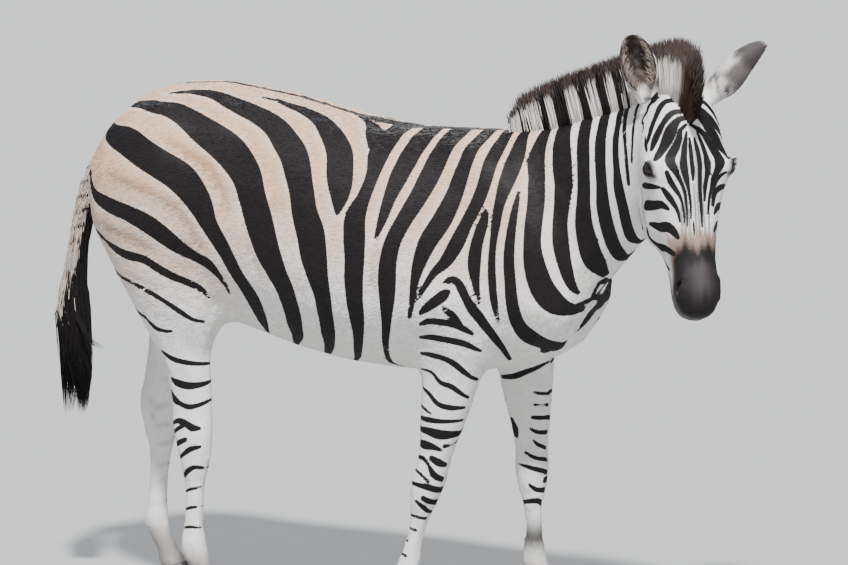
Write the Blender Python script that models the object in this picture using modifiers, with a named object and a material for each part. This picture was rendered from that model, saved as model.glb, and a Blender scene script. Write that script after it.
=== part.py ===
"""A plains zebra standing still with its head turned to the right, life size, in metres with +Z up.

The animal faces +X and stands on the soles of its hooves at Z = 0. It is one rigid model: the body is lofted
and swollen from a few key ribs, made one surface, and parted into named nodes by cuts CUT wide.
"""

from dataclasses import dataclass
from math import pi, radians

import bmesh
import bpy
import numpy as np
from mathutils import Matrix, Vector

CUT = 0.0004
EAR_GAP = 0.003
MIDDLE = (0.1758, -0.0152)
BODY_VOXEL = 0.008
BODY_SHARE = 0.017
# ---------------------------------------------------------------------------
# The body's form: lofts through a few key ribs, and swellings of muscle and bone
# ---------------------------------------------------------------------------

Point = tuple[float, float, float]


@dataclass(frozen=True)
class Rib:
    """One cross-section of a loft.

    Attributes:
        at: the centre, in metres: X forward, Y to the animal's left, Z up.
        up: from the centre to the upper edge; on a leg, to the front edge.
        down: from the centre to the lower edge; on a leg, to the back edge.
        side: half the width.
        pitch: the section's normal above the horizontal, in degrees. A leg's looks down, at -90.
        yaw: the section's normal turned to the animal's left, in degrees.
        power: 2 is an ellipse, more is boxier and less is more pointed.
    """

    at: Point
    up: float
    down: float
    side: float
    pitch: float = 0.0
    yaw: float = 0.0
    power: float = 2.0

    def row(self) -> list[float]:
        """The rib as a row of numbers, for interpolation."""
        return [*self.at, self.up, self.down, self.side, self.pitch, self.yaw, self.power]


@dataclass(frozen=True)
class Swelling:
    """An ellipsoid of muscle or bone that stands out of the lofts.

    Attributes:
        at: the centre.
        radii: along its own forward, left and up directions.
        pitch: its forward direction above the horizontal, in degrees.
        yaw: its forward direction turned to the left, in degrees.
    """

    at: Point
    radii: Point
    pitch: float = 0.0
    yaw: float = 0.0


def axes_of(pitch: float, yaw: float) -> Matrix:
    """The forward, left and up directions of a pitch and yaw, as a matrix's columns."""
    return Matrix.Rotation(radians(yaw), 3, "Z") @ Matrix.Rotation(radians(-pitch), 3, "Y")


def smooth_rows(rows: np.ndarray, steps: int) -> np.ndarray:
    """Rows on a smooth curve through the given ones, with steps of them from each to the next."""
    gaps = np.linalg.norm(np.diff(rows[:, :3], axis=0), axis=1)
    place = np.concatenate([[0.0], np.cumsum(gaps)])[:, None]
    slope = np.diff(rows, axis=0) / np.diff(place, axis=0)
    before, after = np.diff(place, axis=0)[:-1], np.diff(place, axis=0)[1:]
    inner = (slope[:-1] * after + slope[1:] * before) / (before + after)
    tangent = np.vstack([slope[:1], inner, slope[-1:]])
    made = []
    for i in range(len(rows) - 1):
        span = place[i + 1] - place[i]
        for t in np.arange(steps) / steps:
            a, b = 2 * t**3 - 3 * t**2 + 1, t**3 - 2 * t**2 + t
            c, d = 3 * t**2 - 2 * t**3, t**3 - t**2
            made.append(a * rows[i] + b * span * tangent[i] + c * rows[i + 1] + d * span * tangent[i + 1])
    return np.array([*made, rows[-1]])


def section_points(row: np.ndarray, sides: int) -> np.ndarray:
    """The points round one cross-section."""
    x, y, z, up, down, side, pitch, yaw, power = row
    turn = np.linspace(0, 2 * pi, sides, endpoint=False)
    lift, spread = np.sin(turn), np.cos(turn)
    lift = np.sign(lift) * np.abs(lift) ** (2 / power)
    spread = np.sign(spread) * np.abs(spread) ** (2 / power)
    axes = np.array(axes_of(pitch, yaw))
    height = np.where(lift > 0, lift * up, lift * down)
    return np.array([x, y, z]) + np.outer(spread * side, axes[:, 1]) + np.outer(height, axes[:, 2])


def add_loft(mesh: bmesh.types.BMesh, ribs: list[Rib], sides: int, steps: int = 5) -> None:
    """Adds a closed tube through the ribs to the mesh."""
    rows = smooth_rows(np.array([rib.row() for rib in ribs]), steps)
    rings = [[mesh.verts.new(p) for p in section_points(row, sides)] for row in rows]
    for ring, following in zip(rings, rings[1:]):
        for k in range(sides):
            after = (k + 1) % sides
            mesh.faces.new((ring[k], ring[after], following[after], following[k]))
    mesh.faces.new(list(reversed(rings[0])))
    mesh.faces.new(rings[-1])


def add_swelling(mesh: bmesh.types.BMesh, swelling: Swelling, sides: int = 24) -> None:
    """Adds an ellipsoid to the mesh."""
    place = axes_of(swelling.pitch, swelling.yaw).to_4x4() @ Matrix.Diagonal((*swelling.radii, 1))
    place.translation = swelling.at
    bmesh.ops.create_uvsphere(mesh, u_segments=sides, v_segments=sides * 2 // 3, radius=1, matrix=place)


def trunk_ribs() -> list[Rib]:
    """The barrel, from the buttocks to the breast. Columns: x, top, bottom, half width, widest height, power."""
    rows = (
        (-0.650, 1.110, 0.960, 0.050, 1.04, 2.0),
        (-0.628, 1.170, 0.900, 0.115, 1.04, 2.0),
        (-0.585, 1.235, 0.845, 0.178, 1.04, 2.0),
        (-0.515, 1.290, 0.795, 0.222, 1.03, 2.0),
        (-0.425, 1.320, 0.755, 0.243, 1.03, 2.0),
        (-0.320, 1.328, 0.735, 0.248, 1.02, 2.0),
        (-0.200, 1.318, 0.700, 0.250, 1.00, 2.0),
        (-0.060, 1.294, 0.665, 0.266, 0.97, 2.05),
        (0.080, 1.262, 0.643, 0.277, 0.95, 2.1),
        (0.200, 1.248, 0.636, 0.272, 0.94, 2.1),
        (0.320, 1.250, 0.640, 0.248, 0.94, 2.05),
        (0.430, 1.254, 0.650, 0.222, 0.94, 2.0),
        (0.530, 1.226, 0.668, 0.200, 0.93, 2.0),
        (0.620, 1.140, 0.705, 0.165, 0.91, 2.0),
        (0.672, 1.050, 0.750, 0.115, 0.89, 2.0),
        (0.698, 0.960, 0.800, 0.055, 0.88, 2.0),
    )
    return [
        Rib((x, 0, wide), top - wide, wide - bottom, half, 0, 0, power)
        for x, top, bottom, half, wide, power in rows
    ]


def neck_ribs() -> list[Rib]:
    """The neck, from inside the shoulders to behind the poll, turning to the animal's right."""
    return [
        Rib((0.420, 0.000, 0.995), 0.256, 0.290, 0.165, 15, 0, 1.9),
        Rib((0.545, -0.004, 1.035), 0.238, 0.262, 0.142, 22, -2, 1.8),
        Rib((0.665, -0.020, 1.100), 0.200, 0.215, 0.108, 27, -10, 1.8),
        Rib((0.775, -0.050, 1.165), 0.172, 0.178, 0.090, 29, -19, 1.8),
        Rib((0.872, -0.095, 1.225), 0.148, 0.152, 0.080, 27, -28, 1.85),
        Rib((0.950, -0.150, 1.268), 0.128, 0.135, 0.076, 15, -38, 1.9),
        Rib((1.000, -0.195, 1.275), 0.110, 0.110, 0.070, 0, -45, 2.0),
    ]


HEAD_PITCH = -74.0
HEAD_YAW = -49.0
NAPE = (0.150, 0.000, -0.236)
NAPE_PITCH = -10.0
POLL = Vector((1.009, -0.188, 1.389))


def head_point(along: float, left: float, out: float) -> Point:
    """A place on the head: along the face from the poll, to the animal's left, and out of the face."""
    return tuple(POLL + axes_of(HEAD_PITCH, HEAD_YAW) @ Vector((along, left, out)))


def on_head(points: np.ndarray) -> np.ndarray:
    """0 for points on the neck and body, rising to 1 over the first few centimetres of the head."""
    ahead = (points - np.array(head_point(*NAPE))) @ np.array(axes_of(NAPE_PITCH, HEAD_YAW))[:, 0]
    return np.clip(ahead / 0.06, 0, 1)


def head_ribs() -> list[Rib]:
    """The head, from the poll to the muzzle. Columns: along, face line, jaw line, half width, power."""
    rows = (
        (-0.020, -0.032, -0.120, 0.050, 2.0),
        (0.010, -0.012, -0.155, 0.074, 2.1),
        (0.055, 0.000, -0.200, 0.096, 2.2),
        (0.115, 0.007, -0.236, 0.104, 2.2),
        (0.175, 0.009, -0.250, 0.102, 2.3),
        (0.230, 0.005, -0.248, 0.093, 2.3),
        (0.285, 0.000, -0.230, 0.077, 2.3),
        (0.335, -0.003, -0.202, 0.065, 2.4),
        (0.385, -0.004, -0.170, 0.057, 2.4),
        (0.428, -0.002, -0.142, 0.056, 2.4),
        (0.466, -0.004, -0.132, 0.058, 2.4),
        (0.496, -0.014, -0.124, 0.053, 2.4),
        (0.518, -0.030, -0.110, 0.042, 2.2),
        (0.530, -0.048, -0.092, 0.022, 2.0),
    )
    share = 0.38
    return [
        Rib(
            head_point(along, 0, face + (jaw - face) * share),
            (face - jaw) * share,
            (face - jaw) * (1 - share),
            half,
            HEAD_PITCH,
            HEAD_YAW,
            power,
        )
        for along, face, jaw, half, power in rows
    ]


def head_swellings() -> list[Swelling]:
    """Orbits, cheeks, nostrils, lips and chin. Columns: along, left, out, then radii along, sideways and out."""
    mirrored = (
        (0.166, 0.076, -0.046, 0.050, 0.039, 0.040),
        (0.222, 0.055, -0.145, 0.125, 0.044, 0.090),
        (0.050, 0.048, -0.090, 0.070, 0.044, 0.085),
        (0.452, 0.036, -0.038, 0.036, 0.027, 0.030),
        (0.300, 0.044, -0.060, 0.120, 0.020, 0.022),
    )
    middle = (
        (0.496, 0.000, -0.050, 0.030, 0.048, 0.042),
        (0.492, 0.000, -0.116, 0.026, 0.034, 0.024),
        (0.080, 0.000, -0.020, 0.080, 0.070, 0.030),
        (0.045, 0.000, -0.110, 0.085, 0.078, 0.090),
    )
    rows = [*mirrored, *((a, -b, *rest) for a, b, *rest in mirrored), *middle]
    return [
        Swelling(head_point(along, left, out), (r1, r2, r3), HEAD_PITCH, HEAD_YAW)
        for along, left, out, r1, r2, r3 in rows
    ]


@dataclass(frozen=True)
class Leg:
    """A leg from inside the body down to the coronet.

    Attributes:
        name: its name, such as fore_right.
        at_top: the sideways place of its top.
        at_foot: the sideways place of its foot.
        rows: height, forward place, then the reach to its front, back and side.
    """

    name: str
    at_top: float
    at_foot: float
    rows: tuple[tuple[float, float, float, float, float], ...]

    def sideways(self, height: float) -> float:
        """The sideways place of the leg's middle at this height."""
        share = min(1.0, max(0.0, (0.95 - height) / 0.6))
        return self.at_top + (self.at_foot - self.at_top) * share

    def ribs(self) -> list[Rib]:
        """The leg's key ribs, from the top down."""
        return [
            Rib((x, self.sideways(z), z), front, back, half, -90, 0, 2.1)
            for z, x, front, back, half in self.rows
        ]


def foreleg_rows(elbow: float, knee: float, fetlock: float) -> tuple:
    """A foreleg's rows from the forward places of its elbow, knee and fetlock."""
    upper, lower = (elbow - knee) / 0.37, (knee - fetlock) / 0.235
    bones = (
        (1.020, 0.120, 0.120, 0.060),
        (0.930, 0.140, 0.145, 0.078),
        (0.840, 0.130, 0.150, 0.082),
        (0.755, 0.105, 0.125, 0.074),
        (0.680, 0.088, 0.094, 0.062),
        (0.610, 0.075, 0.078, 0.054),
        (0.530, 0.064, 0.062, 0.047),
        (0.470, 0.053, 0.050, 0.041),
        (0.430, 0.048, 0.046, 0.041),
        (0.385, 0.048, 0.051, 0.043),
        (0.345, 0.041, 0.046, 0.039),
        (0.300, 0.030, 0.034, 0.028),
        (0.240, 0.026, 0.031, 0.024),
        (0.190, 0.028, 0.034, 0.027),
        (0.150, 0.034, 0.041, 0.033),
    )
    rows = [(z, knee + (z - 0.385) * (upper if z > 0.385 else lower), *size) for z, *size in bones]
    pastern = ((0.115, 0.012, 0.030, 0.034, 0.029), (0.085, 0.027, 0.032, 0.032, 0.031), (0.040, 0.044, 0.040, 0.040, 0.038))
    return (*rows, *((z, fetlock + step, *size) for z, step, *size in pastern))


def hindleg_rows(thigh: float, hock: float, fetlock: float) -> tuple:
    """A hind leg's rows from the forward places of its thigh, hock and fetlock."""
    bones = (
        (1.120, 0.150, 0.150, 0.090, 1.00),
        (1.020, 0.185, 0.180, 0.110, 1.00),
        (0.930, 0.190, 0.164, 0.112, 1.00),
        (0.850, 0.172, 0.142, 0.102, 0.90),
        (0.775, 0.142, 0.112, 0.084, 0.72),
        (0.705, 0.108, 0.092, 0.066, 0.52),
        (0.640, 0.076, 0.074, 0.052, 0.33),
        (0.580, 0.062, 0.062, 0.043, 0.18),
        (0.525, 0.055, 0.060, 0.039, 0.07),
        (0.475, 0.051, 0.069, 0.039, 0.02),
        (0.435, 0.050, 0.062, 0.040, 0.00),
        (0.385, 0.043, 0.048, 0.036, 0.00),
        (0.340, 0.032, 0.038, 0.029, 0.00),
    )
    rows = [(z, hock + (thigh - hock) * share, *size) for z, *size, share in bones]
    cannon = (
        (0.270, 0.027, 0.034, 0.026, 0.5),
        (0.200, 0.029, 0.037, 0.028, 0.8),
        (0.155, 0.034, 0.044, 0.034, 1.0),
    )
    rows += [(z, hock + (fetlock - hock) * share, *size) for z, *size, share in cannon]
    pastern = ((0.118, 0.012, 0.030, 0.034, 0.029), (0.085, 0.030, 0.032, 0.032, 0.031), (0.040, 0.048, 0.040, 0.040, 0.038))
    return (*rows, *((z, fetlock + step, *size) for z, step, *size in pastern))


LEGS = (
    Leg("fore_right", -0.135, -0.125, foreleg_rows(0.395, 0.305, 0.245)),
    Leg("fore_left", 0.135, 0.125, foreleg_rows(0.440, 0.470, 0.480)),
    Leg("hind_right", -0.125, -0.130, hindleg_rows(-0.425, -0.335, -0.338)),
    Leg("hind_left", 0.125, 0.120, hindleg_rows(-0.455, -0.560, -0.572)),
)


def body_swellings() -> list[Swelling]:
    """Shoulders, triceps, haunches and breast."""
    made = []
    for side in (-1, 1):
        made += [
            Swelling((0.500, side * 0.105, 1.010), (0.150, 0.092, 0.260), 38),
            Swelling((0.360 + 0.02 * side, side * 0.150, 0.870), (0.150, 0.095, 0.150), -15),
            Swelling((0.600, side * 0.095, 0.865), (0.100, 0.085, 0.125), 0),
            Swelling((-0.410, side * 0.115, 1.050), (0.230, 0.145, 0.240), 0),
            Swelling((-0.340, side * 0.140, 0.820), (0.100, 0.075, 0.150), 10),
            Swelling((-0.260, side * 0.130, 1.180), (0.130, 0.075, 0.085), 0),
        ]
    return made


def tail_ribs() -> list[Rib]:
    """The tail with its hair, from inside the rump down to the tip."""
    rows = (
        (-0.560, 1.195, 0.036, -30.0),
        (-0.610, 1.160, 0.037, -42.0),
        (-0.652, 1.108, 0.036, -60.0),
        (-0.686, 1.040, 0.034, -70.0),
        (-0.712, 0.960, 0.033, -78.0),
        (-0.733, 0.870, 0.033, -83.0),
        (-0.744, 0.780, 0.036, -87.0),
        (-0.747, 0.700, 0.043, -90.0),
        (-0.745, 0.620, 0.046, -90.0),
        (-0.743, 0.550, 0.040, -90.0),
        (-0.745, 0.490, 0.024, -90.0),
        (-0.748, 0.440, 0.006, -90.0),
    )
    return [Rib((x, 0, z), r, r, r * 1.1, pitch, 180) for x, z, r, pitch in rows]


def lofted_body(name: str, voxel: float, passes: int) -> bpy.types.Object:
    """The whole body but hooves, ears, eyes and hair, as one smooth closed surface."""
    mesh = bmesh.new()
    add_loft(mesh, trunk_ribs(), 48)
    add_loft(mesh, neck_ribs(), 40)
    add_loft(mesh, head_ribs(), 40)
    add_loft(mesh, tail_ribs(), 20)
    for leg in LEGS:
        add_loft(mesh, leg.ribs(), 28)
    for swelling in (*body_swellings(), *head_swellings()):
        add_swelling(mesh, swelling)
    bmesh.ops.recalc_face_normals(mesh, faces=mesh.faces)
    data = bpy.data.meshes.new(name)
    mesh.to_mesh(data)
    mesh.free()
    body = bpy.data.objects.new(name, data)
    bpy.context.scene.collection.objects.link(body)
    bpy.context.view_layer.objects.active = body
    remesh = body.modifiers.new("one_surface", "REMESH")
    remesh.mode = "VOXEL"
    remesh.voxel_size = voxel
    bpy.ops.object.modifier_apply(modifier=remesh.name)
    points = np.empty(len(body.data.vertices) * 3)
    body.data.vertices.foreach_get("co", points)
    points = points.reshape(-1, 3)
    slim = np.clip((0.72 - points[:, 2]) / 0.15, 0, 1)
    give = 1 - 0.92 * np.maximum(slim, on_head(points))
    soft = body.vertex_groups.new(name="soft")
    for index, weight in enumerate(give):
        soft.add((index,), float(weight), "REPLACE")
    smooth = body.modifiers.new("blend", "SMOOTH")
    smooth.factor = 0.5
    smooth.iterations = passes
    smooth.vertex_group = soft.name
    bpy.ops.object.modifier_apply(modifier=smooth.name)
    return body

# ---------------------------------------------------------------------------
# The other solids
# ---------------------------------------------------------------------------


def object_of(mesh: bmesh.types.BMesh, name: str) -> bpy.types.Object:
    """A new object with this mesh, its faces looking outward."""
    data = bpy.data.meshes.new(name)
    mesh.to_mesh(data)
    mesh.free()
    made = bpy.data.objects.new(name, data)
    bpy.context.scene.collection.objects.link(made)
    return made


def lofted(name: str, ribs: list[Rib], sides: int, steps: int) -> bpy.types.Object:
    """One loft as an object of its own."""
    mesh = bmesh.new()
    add_loft(mesh, ribs, sides, steps)
    bmesh.ops.recalc_face_normals(mesh, faces=mesh.faces)
    return object_of(mesh, name)


@dataclass(frozen=True)
class Coronet:
    """Where a hoof meets its pastern.

    Attributes:
        at: the middle.
        slope: how far its plane leans, higher in front, in degrees.
        front: its reach to the front edge.
        back: its reach to the back edge.
        side: half its width.
    """

    at: Point
    slope: float = 22.0
    front: float = 0.043
    back: float = 0.040
    side: float = 0.040

    @classmethod
    def of(cls, leg: Leg) -> "Coronet":
        """The coronet of a leg, just above the leg's last rib."""
        return cls((leg.rows[-1][1], leg.at_foot, 0.052))

    def hoof(self, name: str) -> bpy.types.Object:
        """The hoof, from just under the coronet to a flat sole at Z = 0."""
        x, y, z = self.at
        ribs = [
            Rib((x, y, z - CUT), self.front, self.back, self.side, self.slope - 90, 0, 2.2),
            Rib((x + 0.018, y, 0.026), 0.049, 0.046, 0.043, 0.5 * self.slope - 90, 0, 2.2),
            Rib((x + 0.031, y, 0.003), 0.058, 0.054, 0.046, -90, 0, 2.2),
            Rib((x + 0.032, y, 0.000), 0.056, 0.052, 0.044, -90, 0, 2.2),
        ]
        return lofted(name, ribs, 24, 1)

    def below(self, mesh: bmesh.types.BMesh) -> None:
        """Adds a block to the mesh that fills everything under the coronet."""
        place = Matrix.Translation(self.at) @ axes_of(self.slope - 90, 0).to_4x4()
        block = place @ Matrix.Translation((0.06, 0, 0)) @ Matrix.Diagonal((0.12, 0.12, 0.16, 1))
        bmesh.ops.create_cube(mesh, size=1, matrix=block)


@dataclass(frozen=True)
class Ear:
    """A cupped ear.

    Attributes:
        root: the middle of its base, inside the head.
        along: from its base to its tip.
        open_to: roughly where its hollow side looks.
        length: from root to tip.
        width: across its widest part.
        wall: how thick it is.
    """

    root: Point
    along: Point
    open_to: Point
    length: float = 0.205
    width: float = 0.082
    wall: float = 0.0055

    def stations(self) -> list[tuple[float, float, float]]:
        """How far along, half the width and half the angle its wall wraps, for a few cross-sections."""
        shares = (
            (0.00, 0.60, 170),
            (0.12, 0.68, 162),
            (0.24, 0.84, 136),
            (0.38, 0.97, 110),
            (0.54, 1.00, 90),
            (0.70, 0.92, 76),
            (0.83, 0.74, 66),
            (0.93, 0.48, 60),
            (0.99, 0.20, 55),
        )
        return [(s * self.length, w * self.width / 2, radians(a)) for s, w, a in shares]

    def solid(self, name: str) -> bpy.types.Object:
        """The ear's wall, as a loft through crescents."""
        up = Vector(self.along).normalized()
        out = Vector(self.open_to)
        out = (out - out.dot(up) * up).normalized()
        side = up.cross(out)
        mesh = bmesh.new()
        rings = []
        for along, half, angle in self.stations():
            radius = half / (1 if angle > pi / 2 else np.sin(angle))
            turns = np.linspace(-angle, angle, 9)
            middle = Vector(self.root) + up * along - out * (0 if angle > pi / 2 else half - radius) * 1.0
            outer = [middle + side * radius * np.sin(t) - out * radius * np.cos(t) for t in turns]
            inner = radius - min(self.wall, 0.45 * half)
            inner = [middle + side * inner * np.sin(t) - out * inner * np.cos(t) for t in turns]
            rings.append([mesh.verts.new(p) for p in (*outer, *reversed(inner))])
        for ring, following in zip(rings, rings[1:]):
            for k in range(len(ring)):
                after = (k + 1) % len(ring)
                mesh.faces.new((ring[k], ring[after], following[after], following[k]))
        half = len(rings[0]) // 2
        for ring in (rings[0], rings[-1]):
            for k in range(half - 1):
                mesh.faces.new((ring[k], ring[k + 1], ring[-k - 2], ring[-k - 1]))
        bmesh.ops.recalc_face_normals(mesh, faces=mesh.faces)
        return object_of(mesh, name)


def ears() -> dict[str, Ear]:
    """The right ear faces forward; the left one is swung out and shows its back."""
    return {
        "ear_right": Ear(head_point(-0.005, -0.070, -0.085), (-0.20, -0.21, 0.957), (0.30, -0.93, 0.17), 0.170, 0.090),
        "ear_left": Ear(head_point(0.000, 0.070, -0.085), (0.610, 0.435, 0.662), (0.211, 0.769, -0.587)),
    }


EYE_RADIUS = 0.021


def eye_place(side: int) -> Vector:
    """The middle of an eyeball: side is 1 for the left and -1 for the right."""
    return Vector(head_point(0.166, side * 0.0920, -0.0310))


def mane_ribs() -> list[Rib]:
    """The standing mane, from the withers over the poll to the forelock."""
    rows = (
        (0.455, -0.003, 1.238, 8.0, -5.0, 0.030),
        (0.475, -0.003, 1.243, 9.0, -6.0, 0.070),
        (0.510, -0.004, 1.248, 12.0, -8.0, 0.108),
        (0.575, -0.006, 1.262, 16.0, -12.0, 0.122),
        (0.690, -0.024, 1.298, 20.0, -20.0, 0.130),
        (0.810, -0.066, 1.340, 20.0, -30.0, 0.135),
        (0.910, -0.122, 1.374, 13.0, -38.0, 0.138),
        (0.970, -0.160, 1.386, 2.0, -45.0, 0.148),
        (1.010, -0.190, 1.382, -14.0, -49.0, 0.156),
        (1.028, -0.210, 1.370, -36.0, -49.0, 0.125),
        (1.036, -0.219, 1.354, -52.0, -49.0, 0.080),
        (1.039, -0.224, 1.342, -62.0, -49.0, 0.035),
    )
    return [Rib((x, y, z), height, 0.040, 0.026, pitch, yaw, 1.8) for x, y, z, pitch, yaw, height in rows]


# ---------------------------------------------------------------------------
# Parting the body
# ---------------------------------------------------------------------------


def add_plate(mesh: bmesh.types.BMesh, at: Point, pitch: float, yaw: float, radius: float) -> None:
    """Adds a disc CUT thick to the mesh, across a limb whose direction is given."""
    place = axes_of(pitch, yaw).to_4x4() @ Matrix.Rotation(pi / 2, 4, "Y")
    place.translation = at
    bmesh.ops.create_cone(
        mesh, cap_ends=True, segments=32, radius1=radius, radius2=radius, depth=CUT, matrix=place
    )


def add_bowl(mesh: bmesh.types.BMesh, swelling: Swelling) -> None:
    """Adds a hollow ellipsoid with a wall CUT thick to the mesh."""
    add_swelling(mesh, swelling, 15)
    inside = bmesh.new()
    add_swelling(inside, Swelling(swelling.at, tuple(r - CUT for r in swelling.radii)), 15)
    bmesh.ops.reverse_faces(inside, faces=inside.faces)
    data = bpy.data.meshes.new("inside")
    inside.to_mesh(data)
    inside.free()
    mesh.from_mesh(data)


BOWLS = {
    "shoulder_right": Swelling((0.372, -0.180, 0.820), (0.165, 0.165, 0.310)),
    "shoulder_left": Swelling((0.445, 0.180, 0.820), (0.165, 0.165, 0.310)),
    "haunch_right": Swelling((-0.415, -0.165, 0.900), (0.230, 0.155, 0.345)),
    "haunch_left": Swelling((-0.445, 0.165, 0.900), (0.225, 0.155, 0.345)),
}

NODE_MIDDLES = {
    "trunk": (0.00, 0.00, 0.95),
    "neck": (0.76, -0.05, 1.15),
    "head": head_point(0.22, 0, -0.10),
    "tail_dock": (-0.71, 0.00, 0.93),
    "tail_tuft": (-0.745, 0.00, 0.60),
    "shoulder_right": (0.38, -0.17, 0.82),
    "shoulder_left": (0.45, 0.17, 0.82),
    "haunch_right": (-0.42, -0.16, 0.92),
    "haunch_left": (-0.44, 0.16, 0.92),
}


def leg_at(leg: Leg, height: float) -> Point:
    """The middle of a leg at this height."""
    rows = np.array(leg.rows)[::-1]
    return (float(np.interp(height, rows[:, 0], rows[:, 1])), leg.sideways(height), height)


def cuts_of(leg: Leg) -> dict[str, float]:
    """The heights of the cuts across a leg."""
    joint = 0.375 if leg.name.startswith("fore") else 0.400
    return {"joint": joint, "fetlock": 0.165}


def leg_middles(leg: Leg) -> dict[str, Point]:
    """Where to find the nodes of a leg once it is parted."""
    cuts = cuts_of(leg)
    end, side = leg.name.split("_")
    upper = "forearm" if end == "fore" else "gaskin"
    return {
        f"{upper}_{side}": leg_at(leg, cuts["joint"] + 0.09),
        f"{end}_cannon_{side}": leg_at(leg, (cuts["joint"] + cuts["fetlock"]) / 2),
        f"{end}_pastern_{side}": leg_at(leg, 0.110),
    }


def body_cutter() -> bpy.types.Object:
    """Every thin cut that parts the body, and the blocks that take the legs off at the coronets."""
    mesh = bmesh.new()
    add_plate(mesh, (0.560, 0.000, 1.045), 24, -3, 0.360)
    add_plate(mesh, head_point(*NAPE), NAPE_PITCH, HEAD_YAW, 0.300)
    add_plate(mesh, (-0.719, 0.000, 0.930), -80, 0, 0.050)
    add_plate(mesh, (-0.747, 0.000, 0.745), -88, 0, 0.080)
    for bowl in BOWLS.values():
        add_bowl(mesh, bowl)
    for leg in LEGS:
        for height in cuts_of(leg).values():
            add_plate(mesh, leg_at(leg, height), -90, 0, 0.085)
        Coronet.of(leg).below(mesh)
    for side in (-1, 1):
        socket = Matrix.Translation(eye_place(side)) @ Matrix.Scale(EYE_RADIUS + CUT, 4)
        bmesh.ops.create_uvsphere(mesh, u_segments=18, v_segments=10, radius=1, matrix=socket)
    return object_of(mesh, "body_cutter")


def apply(target: bpy.types.Object, modifier: bpy.types.Modifier) -> None:
    """Applies one modifier."""
    bpy.context.view_layer.objects.active = target
    bpy.ops.object.modifier_apply(modifier=modifier.name)


def subtract(target: bpy.types.Object, cutter: bpy.types.Object) -> None:
    """Takes the cutter's solid out of the target."""
    cut = target.modifiers.new("cut", "BOOLEAN")
    cut.operation = "DIFFERENCE"
    cut.solver = "EXACT"
    cut.object = cutter
    apply(target, cut)


def thin_out(body: bpy.types.Object) -> None:
    """Leaves fewer faces, and keeps more of them on the head and the lower legs."""
    detail = body.vertex_groups.new(name="detail")
    points = np.array([vertex.co for vertex in body.data.vertices])
    wanted = 0.25 * on_head(points) + 0.15 * (points[:, 2] < 0.55)
    for index, weight in enumerate(wanted):
        detail.add((index,), float(weight), "REPLACE")
    decimate = body.modifiers.new("thin_out", "DECIMATE")
    decimate.ratio = BODY_SHARE
    decimate.vertex_group = detail.name
    decimate.invert_vertex_group = True
    decimate.vertex_group_factor = 1.0
    apply(body, decimate)


def grown_copy(solid: bpy.types.Object, gap: float) -> bpy.types.Object:
    """A solid swollen by the gap, to trim what touches it."""
    copy = solid.copy()
    copy.data = solid.data.copy()
    bpy.context.scene.collection.objects.link(copy)
    swell = copy.modifiers.new("swell", "DISPLACE")
    swell.strength = gap
    swell.mid_level = 0
    apply(copy, swell)
    return copy


def parted(body: bpy.types.Object) -> dict[str, bpy.types.Object]:
    """The body's separate pieces by name."""
    middles = dict(NODE_MIDDLES)
    for leg in LEGS:
        middles.update(leg_middles(leg))
    bpy.ops.object.select_all(action="DESELECT")
    body.select_set(True)
    bpy.context.view_layer.objects.active = body
    bpy.ops.object.mode_set(mode="EDIT")
    bpy.ops.mesh.select_all(action="SELECT")
    bpy.ops.mesh.separate(type="LOOSE")
    bpy.ops.object.mode_set(mode="OBJECT")
    found = {}
    for piece in list(bpy.context.selected_objects):
        points = np.array([vertex.co for vertex in piece.data.vertices])
        middle = (points.min(axis=0) + points.max(axis=0)) / 2
        name = min(middles, key=lambda key: np.linalg.norm(middle - middles[key]))
        if name in found:
            raise ValueError(f"two pieces are nearest to {name}")
        found[name] = piece
    return found


# ---------------------------------------------------------------------------
# Materials and the whole
# ---------------------------------------------------------------------------

COLOURS = {
    "coat": (0.70, 0.64, 0.55, 0.7),
    "mane": (0.10, 0.06, 0.045, 0.8),
    "hoof": (0.045, 0.04, 0.038, 0.45),
    "eye": (0.012, 0.009, 0.008, 0.08),
}


def colour_of(name: str) -> str:
    """The name of a node's material."""
    if name.startswith("hoof"):
        return "hoof"
    if name.startswith("eye"):
        return "eye"
    return "mane" if name in ("mane", "tail_tuft") else "coat"


def material(name: str, kind: str) -> bpy.types.Material:
    """A plain material for one node."""
    red, green, blue, rough = COLOURS[kind]
    made = bpy.data.materials.new(name)
    made.use_nodes = True
    shader = made.node_tree.nodes["Principled BSDF"]
    shader.inputs["Base Color"].default_value = (red, green, blue, 1)
    shader.inputs["Roughness"].default_value = rough
    return made


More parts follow.
